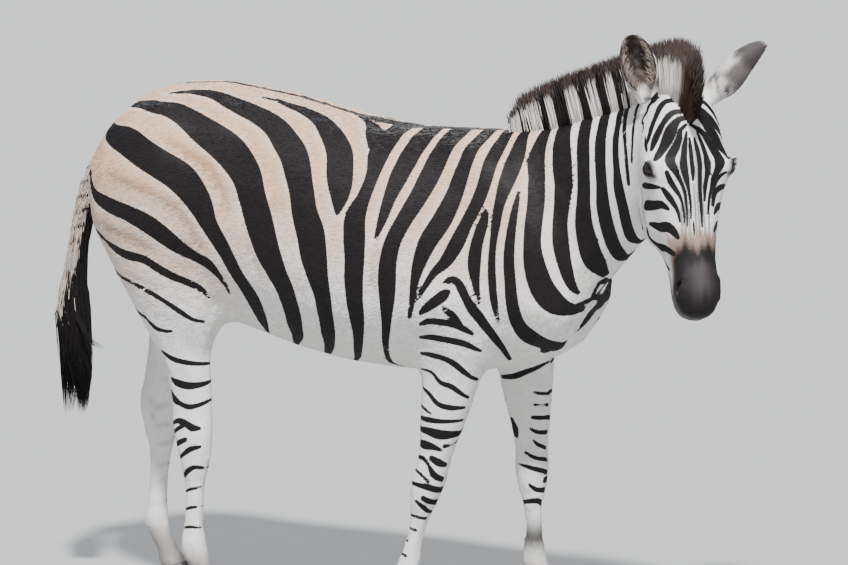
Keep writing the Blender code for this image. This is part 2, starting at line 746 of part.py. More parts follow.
def build() -> None:
    """Builds every node and puts it in the zebra's collection."""
    for leftover in list(bpy.data.objects):
        bpy.data.objects.remove(leftover)
    body = lofted_body("body", BODY_VOXEL, 120)
    thin_out(body)
    grown = grown_copy(body, CUT)
    cutter = body_cutter()
    subtract(body, cutter)
    nodes = parted(body)
    trimmers = [grown]
    for name, ear in ears().items():
        nodes[name] = ear.solid(name)
        trimmers.append(grown_copy(nodes[name], EAR_GAP))
        subtract(nodes[name], grown)
    nodes["mane"] = lofted("mane", mane_ribs(), 12, 2)
    for trimmer in trimmers:
        subtract(nodes["mane"], trimmer)
    for leg in LEGS:
        end, side = leg.name.split("_")
        nodes[f"hoof_{end}_{side}"] = Coronet.of(leg).hoof("hoof")
    for name, side in (("eye_right", -1), ("eye_left", 1)):
        ball = bmesh.new()
        place = Matrix.Translation(eye_place(side)) @ Matrix.Scale(EYE_RADIUS, 4)
        bmesh.ops.create_uvsphere(ball, u_segments=18, v_segments=10, radius=1, matrix=place)
        nodes[name] = object_of(ball, name)
    for helper in (*trimmers, cutter):
        bpy.data.objects.remove(helper)
    zebra = bpy.data.collections.new("zebra")
    bpy.context.scene.collection.children.link(zebra)
    for name, node in nodes.items():
        node.name = name
        node.data.transform(Matrix.Translation((-MIDDLE[0], -MIDDLE[1], 0)))
        node.data.materials.clear()
        node.data.materials.append(material(name, colour_of(name)))
        bpy.context.scene.collection.objects.unlink(node)
        zebra.objects.link(node)


build()
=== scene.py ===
"""The looks of a life-size plains zebra, standing with its head turned to its right.

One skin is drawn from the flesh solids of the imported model, refined on the head and marked with
the animal's own stripes. Short coat, mane, forelock, tail, ear hair and lashes are solid tufts and
locks rooted on it. Lengths are metres. Markings and hair are laid out in the animal's own layout
frame, whose origin is on the floor about midway between the fore and hind legs; LAYOUT_TO_MODEL
takes them to the model's frame.
"""

import logging
from dataclasses import dataclass, field
from enum import Enum
from math import cos, pi, radians, sin

import bmesh
import bpy
import numpy as np
from mathutils import Matrix, Vector
from mathutils.bvhtree import BVHTree

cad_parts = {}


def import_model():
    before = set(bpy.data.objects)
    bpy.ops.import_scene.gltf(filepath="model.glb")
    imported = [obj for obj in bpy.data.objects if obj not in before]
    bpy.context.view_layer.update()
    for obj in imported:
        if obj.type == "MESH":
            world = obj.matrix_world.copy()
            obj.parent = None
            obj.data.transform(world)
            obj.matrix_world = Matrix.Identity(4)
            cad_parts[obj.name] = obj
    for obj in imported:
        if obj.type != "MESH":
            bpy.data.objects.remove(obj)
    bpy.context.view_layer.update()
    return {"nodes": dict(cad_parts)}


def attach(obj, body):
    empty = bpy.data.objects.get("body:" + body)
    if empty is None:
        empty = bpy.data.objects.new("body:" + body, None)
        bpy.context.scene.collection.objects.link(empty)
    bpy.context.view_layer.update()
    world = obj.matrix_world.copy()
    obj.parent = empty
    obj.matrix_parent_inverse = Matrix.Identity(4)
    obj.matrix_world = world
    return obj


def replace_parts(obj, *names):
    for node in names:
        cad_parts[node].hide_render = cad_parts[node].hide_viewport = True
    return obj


LOG = logging.getLogger("zebra")
LAYOUT_TO_MODEL = np.array((-0.1758, 0.0152, 0.0))
HEAD_PITCH = -74.0
HEAD_YAW = -49.0
POLL = np.array((1.009, -0.188, 1.389)) + LAYOUT_TO_MODEL
EAR_SECTIONS = 34
NO_INK = -0.02

Array = np.ndarray
Piece = bpy.types.Object
Row = tuple[float, ...]
Rows = tuple[Row, ...]
Colour = Row | Array


# ---------------------------------------------------------------------------
# Frames and small helpers
# ---------------------------------------------------------------------------


def axes_of(pitch: float, yaw: float) -> Array:
    """The forward, left and up directions of a pitch and yaw in degrees, as a matrix's columns."""
    return np.array(Matrix.Rotation(radians(yaw), 3, "Z") @ Matrix.Rotation(radians(-pitch), 3, "Y"))


HEAD_AXES = axes_of(HEAD_PITCH, HEAD_YAW)


def head_point(along: float, left: float, out: float) -> Array:
    """A place on the head: along the face from the poll, to the animal's left, and out of the face."""
    return POLL + HEAD_AXES @ np.array((along, left, out))


def in_head(points: Array) -> Array:
    """Places in the model as along, left and out of the head."""
    return (points - POLL) @ HEAD_AXES


def ramp(value: Array, start: float, end: float) -> Array:
    """0 before start and 1 past end, eased between them; start may be the larger."""
    t = np.clip((value - start) / (end - start), 0.0, 1.0)
    return t * t * (3 - 2 * t)


def mix(a: Colour, b: Colour, share: Array) -> Array:
    """Blends a into b by each row's share; each is one colour for every row or a row for each."""
    share = share[:, None]
    return np.asarray(a) * (1 - share) + np.asarray(b) * share


def hill(value: Array, middle: float, width: float) -> Array:
    """1 where a value is at the middle, falling smoothly away on both sides."""
    return np.exp(-(((value - middle) / width) ** 2))


def unit(vectors: Array) -> Array:
    """Rows scaled to length 1."""
    return vectors / np.maximum(np.linalg.norm(vectors, axis=1, keepdims=True), 1e-9)


def points_of(obj: Piece) -> Array:
    """The places of a mesh's vertices."""
    places = np.empty(len(obj.data.vertices) * 3, np.float32)
    obj.data.vertices.foreach_get("co", places)
    return places.reshape(-1, 3).astype(float)


def normals_of(obj: Piece) -> Array:
    """The directions of a mesh's vertices."""
    normals = np.empty(len(obj.data.vertices) * 3, np.float32)
    obj.data.vertices.foreach_get("normal", normals)
    return normals.reshape(-1, 3).astype(float)


def move_points(obj: Piece, places: Array) -> None:
    """Puts a mesh's vertices at new places."""
    obj.data.vertices.foreach_set("co", places.astype(np.float32).ravel())
    obj.data.update()


def object_of(name: str, mesh: bpy.types.Mesh) -> Piece:
    """A new object in the scene, smooth shaded."""
    obj = bpy.data.objects.new(name, mesh)
    bpy.context.scene.collection.objects.link(obj)
    mesh.shade_smooth()
    return obj


def mesh_from(name: str, places: Array, corners: Array) -> bpy.types.Mesh:
    """A mesh of triangles, filled in bulk because it holds tens of thousands of them.

    Args:
        name: the mesh's name.
        places: one row for each vertex.
        corners: three vertex numbers for each triangle.

    Returns:
        The mesh.
    """
    mesh = bpy.data.meshes.new(name)
    count = len(corners)
    mesh.vertices.add(len(places))
    mesh.vertices.foreach_set("co", places.astype(np.float32).ravel())
    mesh.loops.add(count * 3)
    mesh.loops.foreach_set("vertex_index", corners.astype(np.int32).ravel())
    mesh.polygons.add(count)
    mesh.polygons.foreach_set("loop_start", np.arange(0, count * 3, 3, dtype=np.int32))
    mesh.update(calc_edges=True)
    return mesh


def set_values(mesh: bpy.types.Mesh, name: str, values: Array) -> None:
    """Stores a number for each vertex."""
    layer = mesh.attributes.new(name, "FLOAT", "POINT")
    layer.data.foreach_set("value", values.astype(np.float32))


def set_colours(mesh: bpy.types.Mesh, name: str, colours: Array) -> None:
    """Stores a colour for each vertex."""
    layer = mesh.attributes.new(name, "FLOAT_COLOR", "POINT")
    full = np.ones((len(colours), 4), np.float32)
    full[:, :3] = colours
    layer.data.foreach_set("color", full.ravel())


def only(obj: Piece) -> None:
    """Makes one object the selected and active one."""
    bpy.ops.object.select_all(action="DESELECT")
    obj.select_set(True)
    bpy.context.view_layer.objects.active = obj


def wear(obj: Piece, material: bpy.types.Material) -> None:
    """Gives a piece this material in place of any it has."""
    obj.data.materials.clear()
    obj.data.materials.append(material)


def written(mesh: bmesh.types.BMesh, name: str) -> bpy.types.Mesh:
    """Writes an edited mesh out as a new mesh and frees it."""
    made = bpy.data.meshes.new(name)
    mesh.to_mesh(made)
    mesh.free()
    return made


def bridge(mesh: bmesh.types.BMesh, rings: list[list[bmesh.types.BMVert]]) -> None:
    """Joins each ring of vertices to the next with four-sided faces."""
    for ring, following in zip(rings, rings[1:]):
        for k, vert in enumerate(ring):
            after = (k + 1) % len(ring)
            mesh.faces.new((vert, ring[after], following[after], following[k]))


def apply_modifier(obj: Piece, kind: str, **settings: object) -> None:
    """Adds a modifier with these settings and applies it."""
    modifier = obj.modifiers.new(kind.title(), kind)
    for name, value in settings.items():
        setattr(modifier, name, value)
    only(obj)
    bpy.ops.object.modifier_apply(modifier=modifier.name)


def smooth_rows(rows: Array, gap: float) -> Array:
    """Rows on a smooth curve through the given ones, about a gap apart in their first columns.

    Args:
        rows: the curve's points, with any further columns carried along.
        gap: how far apart the new rows are.

    Returns:
        The new rows.
    """
    if len(rows) < 3:
        steps = max(2, int(np.linalg.norm(rows[1, :2] - rows[0, :2]) / gap) + 1)
        share = np.linspace(0, 1, steps)[:, None]
        return rows[:1] * (1 - share) + rows[1:2] * share
    padded = np.vstack([2 * rows[0] - rows[1], rows, 2 * rows[-1] - rows[-2]])
    made = []
    for a, b, c, d in zip(padded, padded[1:], padded[2:], padded[3:]):
        steps = max(1, int(np.ceil(np.linalg.norm(c[:2] - b[:2]) / gap)))
        square, cube = 2 * a - 5 * b + 4 * c - d, 3 * b - a - 3 * c + d
        made += [0.5 * (2 * b + (c - a) * t + square * t**2 + cube * t**3) for t in np.arange(steps) / steps]
    return np.array([*made, rows[-1]])


def tube(name: str, rows: Array, sides: int = 14) -> bpy.types.Mesh:
    """A closed round tube through rows of forward, height and radius, in the layout's middle plane."""
    mesh = bmesh.new()
    runs = np.gradient(rows[:, :2], axis=0)
    rings = []
    for (x, z, radius), (dx, dz) in zip(rows, runs / np.linalg.norm(runs, axis=1, keepdims=True)):
        turns = np.linspace(0, 2 * pi, sides, endpoint=False)
        places = [
            np.array((x - dz * radius * sin(t), radius * cos(t), z + dx * radius * sin(t))) + LAYOUT_TO_MODEL
            for t in turns
        ]
        rings.append([mesh.verts.new(place) for place in places])
    bridge(mesh, rings)
    mesh.faces.new(rings[0])
    mesh.faces.new(rings[-1])
    bmesh.ops.recalc_face_normals(mesh, faces=mesh.faces)
    return written(mesh, name)


@dataclass(frozen=True)
class Palette:
    """The colours of hair and bare skin, as linear red, green and blue, with a painted highlight and two
    painted shades among them.
    """

    white: Row = (0.80, 0.775, 0.74)
    buff: Row = (0.61, 0.375, 0.225)
    brown_shadow: Row = (0.24, 0.125, 0.070)
    leg_shadow: Row = (0.30, 0.26, 0.24)
    nose_line: Row = (0.060, 0.046, 0.048)
    rufous: Row = (0.24, 0.125, 0.085)
    chin: Row = (0.20, 0.175, 0.178)
    muzzle: Row = (0.011, 0.0085, 0.0085)
    # Painted highlight: the lighter grey down the middle of the muzzle.
    muzzle_painted_highlight: Row = (0.060, 0.050, 0.052)
    round_eye: Row = (0.035, 0.022, 0.019)
    bare: Row = (0.012, 0.010, 0.011)
    # Painted shade on the left fore fetlock, above the hoof.
    painted_fetlock_shade: Row = (0.030, 0.026, 0.024)
    foot: Row = (0.13, 0.10, 0.085)
    ear_back: Row = (0.62, 0.59, 0.56)
    ear_smudge: Row = (0.035, 0.028, 0.030)
    # The ear back's lower side: partly its hair's colour, partly painted shade where the back turns from the
    # light.
    ear_lower_side_and_shade: Row = (0.040, 0.030, 0.026)
    ear_tip: Row = (0.034, 0.026, 0.026)
    ear_hollow: Row = (0.045, 0.032, 0.026)
    ear_fluff: Row = (0.20, 0.165, 0.14)
    ear_rim: Row = (0.40, 0.36, 0.33)
    ear_hair: Row = (0.22, 0.175, 0.145)
    mane_brown: Row = (0.019, 0.0080, 0.0048)
    mane_pale: Row = (0.62, 0.58, 0.53)
    tail_cream: Row = (0.62, 0.53, 0.44)
    tail_grey: Row = (0.30, 0.27, 0.25)
    lash: Row = (0.012, 0.009, 0.008)
    iris: Row = (0.020, 0.010, 0.006)
    iris_edge: Row = (0.008, 0.005, 0.004)
    eye_white: Row = (0.03, 0.02, 0.017)
    pupil: Row = (0.003, 0.003, 0.004)


PALETTE = Palette()


# ---------------------------------------------------------------------------
# Skin
# ---------------------------------------------------------------------------

# The tail's fleshy dock, as forward, height and radius.
DOCK = (
    (-0.530, 1.200, 0.030),
    (-0.580, 1.178, 0.026),
    (-0.630, 1.132, 0.024),
    (-0.670, 1.070, 0.022),
    (-0.698, 0.990, 0.019),
    (-0.718, 0.910, 0.017),
    (-0.730, 0.840, 0.015),
)

# The line of trunk and neck seen from above, as forward, sideways and the way it heads in degrees.
SPINE = (
    (-0.80, 0.000, 0.0),
    (0.42, 0.000, 0.0),
    (0.545, -0.004, -3.0),
    (0.665, -0.020, -11.0),
    (0.775, -0.050, -20.0),
    (0.872, -0.095, -30.0),
    (0.950, -0.150, -40.0),
    (1.000, -0.195, -49.0),
    (1.300, -0.540, -49.0),
)


@dataclass
class Skin:
    """The hide over trunk, neck, head and legs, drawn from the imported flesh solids.

    Attributes:
        voxel: the grid that joins the solids into one surface.
        overlap: how far each solid grows first, to close the thin cuts between them.
        coat_depth: how far the hide lies inside the solids on the body.
        face_depth: the same on the head and the lower legs.
    """

    voxel: float = 0.013
    overlap: float = 0.0012
    coat_depth: float = 0.004
    face_depth: float = 0.002
    obj: Piece = field(init=False)
    tree: BVHTree = field(init=False)

    def joined_flesh(self, nodes: list[Piece], hooves: list[Piece]) -> None:
        """Joins the flesh solids, the dock and a core inside each hoof into one closed surface."""
        mesh = bmesh.new()
        shrink = Matrix.Diagonal((0.80, 0.82, 0.95, 1.0))
        for hoof in hooves:
            core = hoof.data.copy()
            places = points_of(hoof)
            middle = (places.max(0) + places.min(0)) / 2
            back_and_up = middle + (-0.004, 0, 0.004)
            core.transform(Matrix.Translation(back_and_up) @ shrink @ Matrix.Translation(-middle))
            mesh.from_mesh(core)
        mesh.from_mesh(tube("dock", smooth_rows(np.array(DOCK), 0.01)))
        for node in nodes:
            part = bmesh.new()
            part.from_mesh(node.data)
            bmesh.ops.remove_doubles(part, verts=part.verts, dist=0.00001)
            part.normal_update()
            for vert in part.verts:
                vert.co += vert.normal * self.overlap
            mesh.from_mesh(written(part, "grown"))
        self.obj = object_of("skin", written(mesh, "skin"))
        apply_modifier(self.obj, "REMESH", mode="VOXEL", voxel_size=self.voxel)

    def outer_shell(self) -> None:
        """Drops any bubble that the remesh left inside."""
        mesh = bmesh.new()
        mesh.from_mesh(self.obj.data)
        mesh.verts.ensure_lookup_table()
        unseen = set(mesh.verts)
        shells = []
        while unseen:
            shell, edge = [], [unseen.pop()]
            while edge:
                vert = edge.pop()
                shell.append(vert)
                for link in vert.link_edges:
                    other = link.other_vert(vert)
                    if other in unseen:
                        unseen.remove(other)
                        edge.append(other)
            shells.append(shell)
        shells.sort(key=len)
        for shell in shells[:-1]:
            bmesh.ops.delete(mesh, geom=shell, context="VERTS")
        mesh.to_mesh(self.obj.data)
        mesh.free()

    def smoothed(self, weight: Array, passes: int) -> None:
        """Relaxes the surface, each vertex by its weight."""
        group = self.obj.vertex_groups.new(name="relax")
        for level in np.unique(np.round(weight, 1)):
            if level > 0:
                chosen = np.flatnonzero(np.round(weight, 1) == level)
                group.add(chosen.tolist(), float(level), "REPLACE")
        apply_modifier(self.obj, "SMOOTH", factor=0.5, iterations=passes, vertex_group="relax")
        self.obj.vertex_groups.clear()

    def sunk(self) -> None:
        """Moves the surface inwards by the coat's depth, which is least on the face and the feet."""
        places = points_of(self.obj)
        on_face = ramp(in_head(places)[:, 0], -0.02, 0.10) * (places[:, 0] > 0.72)
        fine = np.maximum(on_face, ramp(places[:, 2], 0.5, 0.1))
        depth = self.coat_depth + (self.face_depth - self.coat_depth) * fine
        depth = depth * ramp(places[:, 2], 0.05, 0.09)
        move_points(self.obj, places - normals_of(self.obj) * (depth + self.overlap)[:, None])

    def refined(self, near: Array) -> None:
        """Divides each face that has a vertex marked in near.

        Args:
            near: for each vertex, whether its faces are divided.
        """
        mesh = bmesh.new()
        mesh.from_mesh(self.obj.data)
        mesh.verts.ensure_lookup_table()
        faces = {face for i in np.flatnonzero(near) for face in mesh.verts[i].link_faces}
        edges = {edge for face in faces for edge in face.edges}
        bmesh.ops.subdivide_edges(mesh, edges=list(edges), cuts=1, use_grid_fill=True)
        mesh.to_mesh(self.obj.data)
        mesh.free()

    def refined_all(self) -> None:
        """Divides the legs and the head, then the face, and evens them out."""
        places = points_of(self.obj)
        laid = places - LAYOUT_TO_MODEL
        head = in_head(places)
        on_head = (head[:, 0] > -0.02) & (places[:, 0] > 0.70) & (head[:, 2] > -0.27)
        from_legs = np.minimum(np.abs(laid[:, 0] - 0.39), np.abs(laid[:, 0] + 0.42))
        on_leg = (laid[:, 2] < 0.80) & (from_legs < 0.16)
        self.refined(on_head | (on_leg & (laid[:, 2] > 0.05)))
        self.relaxed_face(0.0, 3)
        head = in_head(points_of(self.obj))
        front = (head[:, 0] > 0.03) & (head[:, 2] > -0.07) & (head[:, 2] < 0.05) & (np.abs(head[:, 1]) < 0.12)
        muzzle = (head[:, 0] > 0.41) & (np.abs(head[:, 1]) < 0.1) & (head[:, 2] > -0.115)
        self.refined(front | muzzle)
        self.relaxed_face(0.04, 4)

    def joined_ears(self, ears: list[Piece]) -> None:
        """Unites the ears with the hide."""
        for ear in ears:
            apply_modifier(self.obj, "BOOLEAN", operation="UNION", solver="MANIFOLD", object=ear)
            bpy.data.objects.remove(ear)

    def eased_at(self, spots: list[Array], radius: float, passes: int) -> None:
        """Evens out the surface near each spot."""
        places = points_of(self.obj)
        weight = np.zeros(len(places))
        for spot in spots:
            weight = np.maximum(weight, ramp(np.linalg.norm(places - spot, axis=1), radius, radius * 0.6))
        self.smoothed(weight, passes)

    def relaxed_face(self, start: float, passes: int) -> None:
        """Evens out the head's surface from start along the face."""
        places = points_of(self.obj)
        weight = ramp(in_head(places)[:, 0], start, start + 0.04) * (places[:, 0] > 0.70)
        self.smoothed(weight, passes)

    def refined_at(self, spots: list[Array], radius: float) -> None:
        """Divides the surface near each spot."""
        places = points_of(self.obj)
        near = np.zeros(len(places), bool)
        for spot in spots:
            near |= np.linalg.norm(places - spot, axis=1) < radius
        self.refined(near)

    def find(self) -> None:
        """Prepares the surface for rays and nearest places."""
        mesh = bmesh.new()
        mesh.from_mesh(self.obj.data)
        self.tree = BVHTree.FromBMesh(mesh)
        mesh.free()

    def touched(self, start: Array, towards: Array, most: float = 0.012) -> Array | None:
        """Where a ray meets the hide, or the hide's nearest place to a ray that just misses it.

        Args:
            start: where the ray starts.
            towards: its direction.
            most: how far past the outline it may miss.

        Returns:
            The place, or None where the ray passes further off.
        """
        hit = self.tree.ray_cast(Vector(start), Vector(towards))[0]
        if hit is None:
            steps = [np.array(start) + np.array(towards) * s for s in np.arange(0.0, 2.4, 0.02)]
            found = [self.tree.find_nearest(Vector(p)) for p in steps]
            hit, _, _, gap = min(found, key=lambda near: near[3])
            if gap > most:
                return None
        return np.array(hit)

    def nearest(self, place: Array) -> Array:
        """The hide's nearest place."""
        return np.array(self.tree.find_nearest(Vector(place))[0])


@dataclass(frozen=True)
class Ear:
    """A cupped ear.

    Attributes:
        side: 1 on the animal's left and -1 on its right.
        root: the middle of its base, on the head.
        along: from its base to its tip.
        open_to: roughly where its hollow side looks.
        length: from root to tip.
        width: across its widest part.
        wall: how thick it is.
    """

    side: int
    root: Row
    along: Row
    open_to: Row
    length: float
    width: float
    wall: float = 0.0040

    def axes(self) -> Array:
        """Columns: to the side, towards the tip, and out of the hollow."""
        up = np.array(self.along) / np.linalg.norm(self.along)
        out = np.array(self.open_to) - (np.array(self.open_to) @ up) * up
        out /= np.linalg.norm(out)
        return np.column_stack([np.cross(up, out), up, out])

    def stations(self, count: int) -> Array:
        """How far along, half the width and half the wrap angle, at evenly spread cross-sections."""
        rows = np.array(
            (
                (0.00, 0.58, 170),
                (0.12, 0.66, 162),
                (0.24, 0.82, 136),
                (0.38, 0.95, 110),
                (0.54, 0.98, 90),
                (0.70, 0.90, 76),
                (0.83, 0.72, 66),
                (0.93, 0.46, 60),
                (0.985, 0.20, 55),
            )
        )
        share = np.linspace(0, 0.985, count) ** 0.92
        half = np.interp(share, rows[:, 0], rows[:, 1]) * self.width / 2
        wrap = np.radians(np.interp(share, rows[:, 0], rows[:, 2]))
        for _ in range(2):
            half[1:-1] = (half[:-2] + 2 * half[1:-1] + half[2:]) / 4
            wrap[1:-1] = (wrap[:-2] + 2 * wrap[1:-1] + wrap[2:]) / 4
        return np.column_stack([share * self.length, half, wrap])

    def local(self, points: Array) -> Array:
        """Places as sideways, along and out of the hollow."""
        return (points - head_point(*self.root)) @ self.axes()

    def near(self, local: Array) -> Array:
        """Which places, in the ear's own frame, lie on the ear."""
        off = np.hypot(local[:, 0], local[:, 2])
        return (local[:, 1] > 0.012) & (local[:, 1] < self.length + 0.02) & (off < self.width * 0.75)

    def section(self, along: Array) -> tuple[Array, Array, Array]:
        """The wall's cross-section at each distance from the root.

        Args:
            along: the distances.

        Returns:
            Its radius, how far out its centre lies, and half the angle that it wraps.
        """
        rows = self.stations(EAR_SECTIONS)
        half = np.interp(along, rows[:, 0], rows[:, 1])
        wrap = np.interp(along, rows[:, 0], rows[:, 2])
        closed = wrap > pi / 2
        radius = np.where(closed, half, half / np.sin(np.minimum(wrap, pi / 2)))
        return radius, np.where(closed, 0.0, radius - half), wrap

    def inside(self, local: Array) -> Array:
        """How far places lie in from the middle of the ear's wall, with a value below 0 outside."""
        radius, centre, _ = self.section(local[:, 1])
        return radius - self.wall * 0.5 - np.hypot(local[:, 0], local[:, 2] - centre)

    def edge_gap(self, local: Array) -> Array:
        """How far places lie from the rim, along the wall."""
        radius, centre, wrap = self.section(local[:, 1])
        turn = np.abs(np.arctan2(local[:, 0], -(local[:, 2] - centre)))
        return np.abs(wrap - turn) * radius

    def tone(self, local: Array) -> Array:
        """The ear's colours: a dark hollow with a pale rim, and a white back that darkens to the tip."""
        side, along, out = local.T
        share = along / self.length
        blotch = np.sin(side * 150 + 2 * np.sin(along * 90)) * np.sin(along * 120 + out * 80)
        smudge = ramp(share + 0.06 * blotch, 0.44, 0.26) * ramp(blotch, -0.5, 0.15)
        colour = mix(PALETTE.ear_back, PALETTE.ear_smudge, 0.88 * smudge)
        # Darkens the back along its lower side: partly the hair's colour, partly painted shade where it
        # curves away.
        low = ramp(-side * np.sign(self.axes()[2, 0]), 0.004, 0.020) * ramp(share, 0.25, 0.40)
        colour = mix(colour, PALETTE.ear_lower_side_and_shade, 0.88 * low)
        dusk = ramp(share + 0.04 * blotch, 0.52, 0.66) * ramp(share, 0.985, 0.945)
        colour = mix(colour, PALETTE.ear_tip, 0.94 * dusk)
        hollow = ramp(self.inside(local), -0.0004, 0.0012)
        dark = mix(PALETTE.ear_hollow, PALETTE.ear_fluff, 0.5 * ramp(blotch, 0.0, 0.8))
        colour = mix(colour, dark, hollow * ramp(share, 0.10, 0.24))
        rim = hill(self.edge_gap(local), 0.0, 0.0045) * ramp(share, 0.2, 0.35)
        return mix(colour, PALETTE.ear_rim, 0.8 * rim * hollow)

    def solid(self) -> Piece:
        """The ear's wall, as a closed loft through crescents."""
        side, up, out = self.axes().T
        root = head_point(*self.root)
        mesh = bmesh.new()
        rings = []
        for along, half, angle in self.stations(EAR_SECTIONS):
            radius = half / (1 if angle > pi / 2 else sin(angle))
            middle = root + up * along - out * (0 if angle > pi / 2 else half - radius)
            turns = np.linspace(-angle, angle, 21)
            thin = np.minimum(self.wall, 0.45 * half) * (1 - 0.75 * np.abs(turns / angle) ** 4)
            outer = [middle + side * radius * sin(t) - out * radius * cos(t) for t in turns]
            inner = [middle + (side * sin(t) - out * cos(t)) * (radius - w) for t, w in zip(turns, thin)]
            rings.append([mesh.verts.new(place) for place in (*outer, *reversed(inner))])
        bridge(mesh, rings)
        half = len(rings[0]) // 2
        for ring in (rings[0], rings[-1]):
            for k in range(half - 1):
                mesh.faces.new((ring[k], ring[k + 1], ring[-k - 2], ring[-k - 1]))
        bmesh.ops.recalc_face_normals(mesh, faces=mesh.faces)
        return object_of("ear", written(mesh, "ear"))


@dataclass(frozen=True)
class EyeSocket:
    """An eye's place, its lids and the slit between them.

    Attributes:
        side: 1 on the animal's left and -1 on its right.
        ball: the eyeball's radius.
        lid: how thick the lids are.
        half_length: half the slit's length.
        upper: the slit's height above its long axis, at the middle.
        lower: the same below it.
        reach: how far from its middle the head is shaped.
        blend: how softly the lids run into the head.
    """

    side: int
    ball: float = 0.021
    lid: float = 0.0018
    half_length: float = 0.0185
    upper: float = 0.0105
    lower: float = 0.0085
    reach: float = 0.055
    blend: float = 0.004

    def centre(self) -> Array:
        """The eyeball's centre."""
        return head_point(0.166, self.side * 0.092, -0.031)

    def axes(self) -> Array:
        """Columns: towards the nose along the slit, up to the brow, and out of the head."""
        out = HEAD_AXES @ np.array((-0.06, self.side * 0.88, 0.46))
        out /= np.linalg.norm(out)
        nose = HEAD_AXES @ np.array((0.72, 0.0, 0.62))
        nose -= (nose @ out) * out
        nose /= np.linalg.norm(nose)
        brow = np.cross(out, nose)
        brow *= np.sign(brow @ HEAD_AXES[:, 2])
        return np.column_stack([nose, brow, out])

    def slit(self, local: Array) -> Array:
        """How far places lie inside the slit, with a value below 0 outside it."""
        nose, brow = local[:, 0], local[:, 1] + 0.0012 * np.sin(local[:, 0] / self.half_length * 1.4)
        share = np.clip(np.abs(nose) / self.half_length, 0, 1.6)
        reach = 1 - share**2.1
        inside = np.where(brow > 0, self.upper * reach - brow, self.lower * reach + brow)
        return inside * 0.8

    def sculpt(self, skin: Skin) -> None:
        """Raises the lids over the eyeball, opens the slit and forms the brow."""
        places = points_of(skin.obj)
        axes = self.axes()
        local = (places - self.centre()) @ axes
        round_axis = np.linalg.norm(local[:, :2], axis=1)
        near = (round_axis < self.reach) & (np.abs(local[:, 2]) < 0.045)
        shell = self.ball + self.lid
        flat = np.clip(round_axis / shell, 0, 1)
        dome = shell * np.sqrt(1 - flat**2 * 0.93) - 0.004 * ramp(round_axis, shell * 0.8, shell * 1.3)
        dome -= 0.9 * np.clip(round_axis - shell, 0, None)
        crease = np.exp(-(((local[:, 1] - self.upper - 0.0045) / 0.0016) ** 2))
        dome -= 0.0013 * crease * (round_axis < shell)
        lifted = np.maximum(local[:, 2], dome)
        soft = self.blend * np.log1p(np.exp(-np.abs(local[:, 2] - dome) / self.blend)) * 0.7
        height = lifted + soft * ramp(round_axis, self.reach, 0.030)
        height += 0.0035 * np.exp(-(((local[:, 1] - 0.023) / 0.008) ** 2) - (local[:, 0] / 0.026) ** 2)
        inside = self.slit(local)
        hidden = np.sqrt(np.clip(self.ball**2 - round_axis**2, 0, None)) - 0.004
        height = np.where(inside > 0, hidden, height)
        local[:, 2] = np.where(near, height, local[:, 2])
        places[near] = (self.centre() + local @ axes.T)[near]
        move_points(skin.obj, places)

    def surround(self, points: Array) -> Array:
        """How brown the hair round the lids is at points, most below the front corner."""
        local = (points - self.centre()) @ self.axes()
        ring = ramp(self.slit(local), -0.013, -0.005)
        below = np.exp(-(((local[:, 0] - 0.008) / 0.014) ** 2) - ((local[:, 1] + 0.015) / 0.009) ** 2)
        return np.maximum(ring, 0.8 * below) * (np.linalg.norm(local, axis=1) < 0.06)

    def darkness(self, points: Array) -> Array:
        """How dark the bare lid skin is at points, from 0 to 1."""
        local = (points - self.centre()) @ self.axes()
        rim = ramp(self.slit(local), -0.0065, -0.0025)
        return rim * (np.linalg.norm(local, axis=1) < 0.04)


@dataclass(frozen=True)
class Nostril:
    """A comma-shaped nostril.

    Attributes:
        side: 1 on the animal's left and -1 on its right.
        half_length: half its length along the slit.
        half_width: half its width at the middle.
        hollow: how deep it goes.
        rim: how far its rim stands out.
        reach: how far from its middle the muzzle is shaped.
    """

    side: int
    half_length: float = 0.021
    half_width: float = 0.0080
    hollow: float = 0.013
    rim: float = 0.003
    reach: float = 0.045

    def centre(self) -> Array:
        """The slit's middle."""
        return head_point(0.452, self.side * 0.050, -0.030)

    def local(self, points: Array) -> tuple[Array, Array]:
        """Places along and across the slit, and its axes with out of the head last."""
        out = HEAD_AXES @ np.array((0.10, self.side * 0.90, 0.42))
        out /= np.linalg.norm(out)
        down = HEAD_AXES @ np.array((0.86, self.side * 0.20, -0.36))
        down -= (down @ out) * out
        down /= np.linalg.norm(down)
        axes = np.column_stack([down, np.cross(out, down) * self.side, out])
        local = (points - self.centre()) @ axes
        local[:, 1] -= 0.004 * np.cos(local[:, 0] / self.half_length * 1.5)
        return local, axes

    def inside(self, local: Array) -> Array:
        """1 at the slit's middle, 0 at its edge and below 0 outside."""
        return 1 - np.sqrt((local[:, 0] / self.half_length) ** 2 + (local[:, 1] / self.half_width) ** 2)

    def sculpt(self, skin: Skin) -> None:
        """Sinks the slit and raises its rim."""
        places = points_of(skin.obj)
        local, axes = self.local(places)
        near = np.linalg.norm(local, axis=1) < self.reach
        inside = self.inside(local)
        sink = self.hollow * ramp(inside, -0.05, 0.75)
        ring = self.rim * np.exp(-(((inside + 0.42) / 0.34) ** 2))
        places[near] += ((ring - sink)[:, None] * axes[:, 2])[near]
        move_points(skin.obj, places)

    def darkness(self, points: Array) -> Array:
        """How dark the skin is at points, from 0 to 1."""
        local, _ = self.local(points)
        return ramp(self.inside(local), -0.5, 0.1) * (np.linalg.norm(local, axis=1) < self.reach)


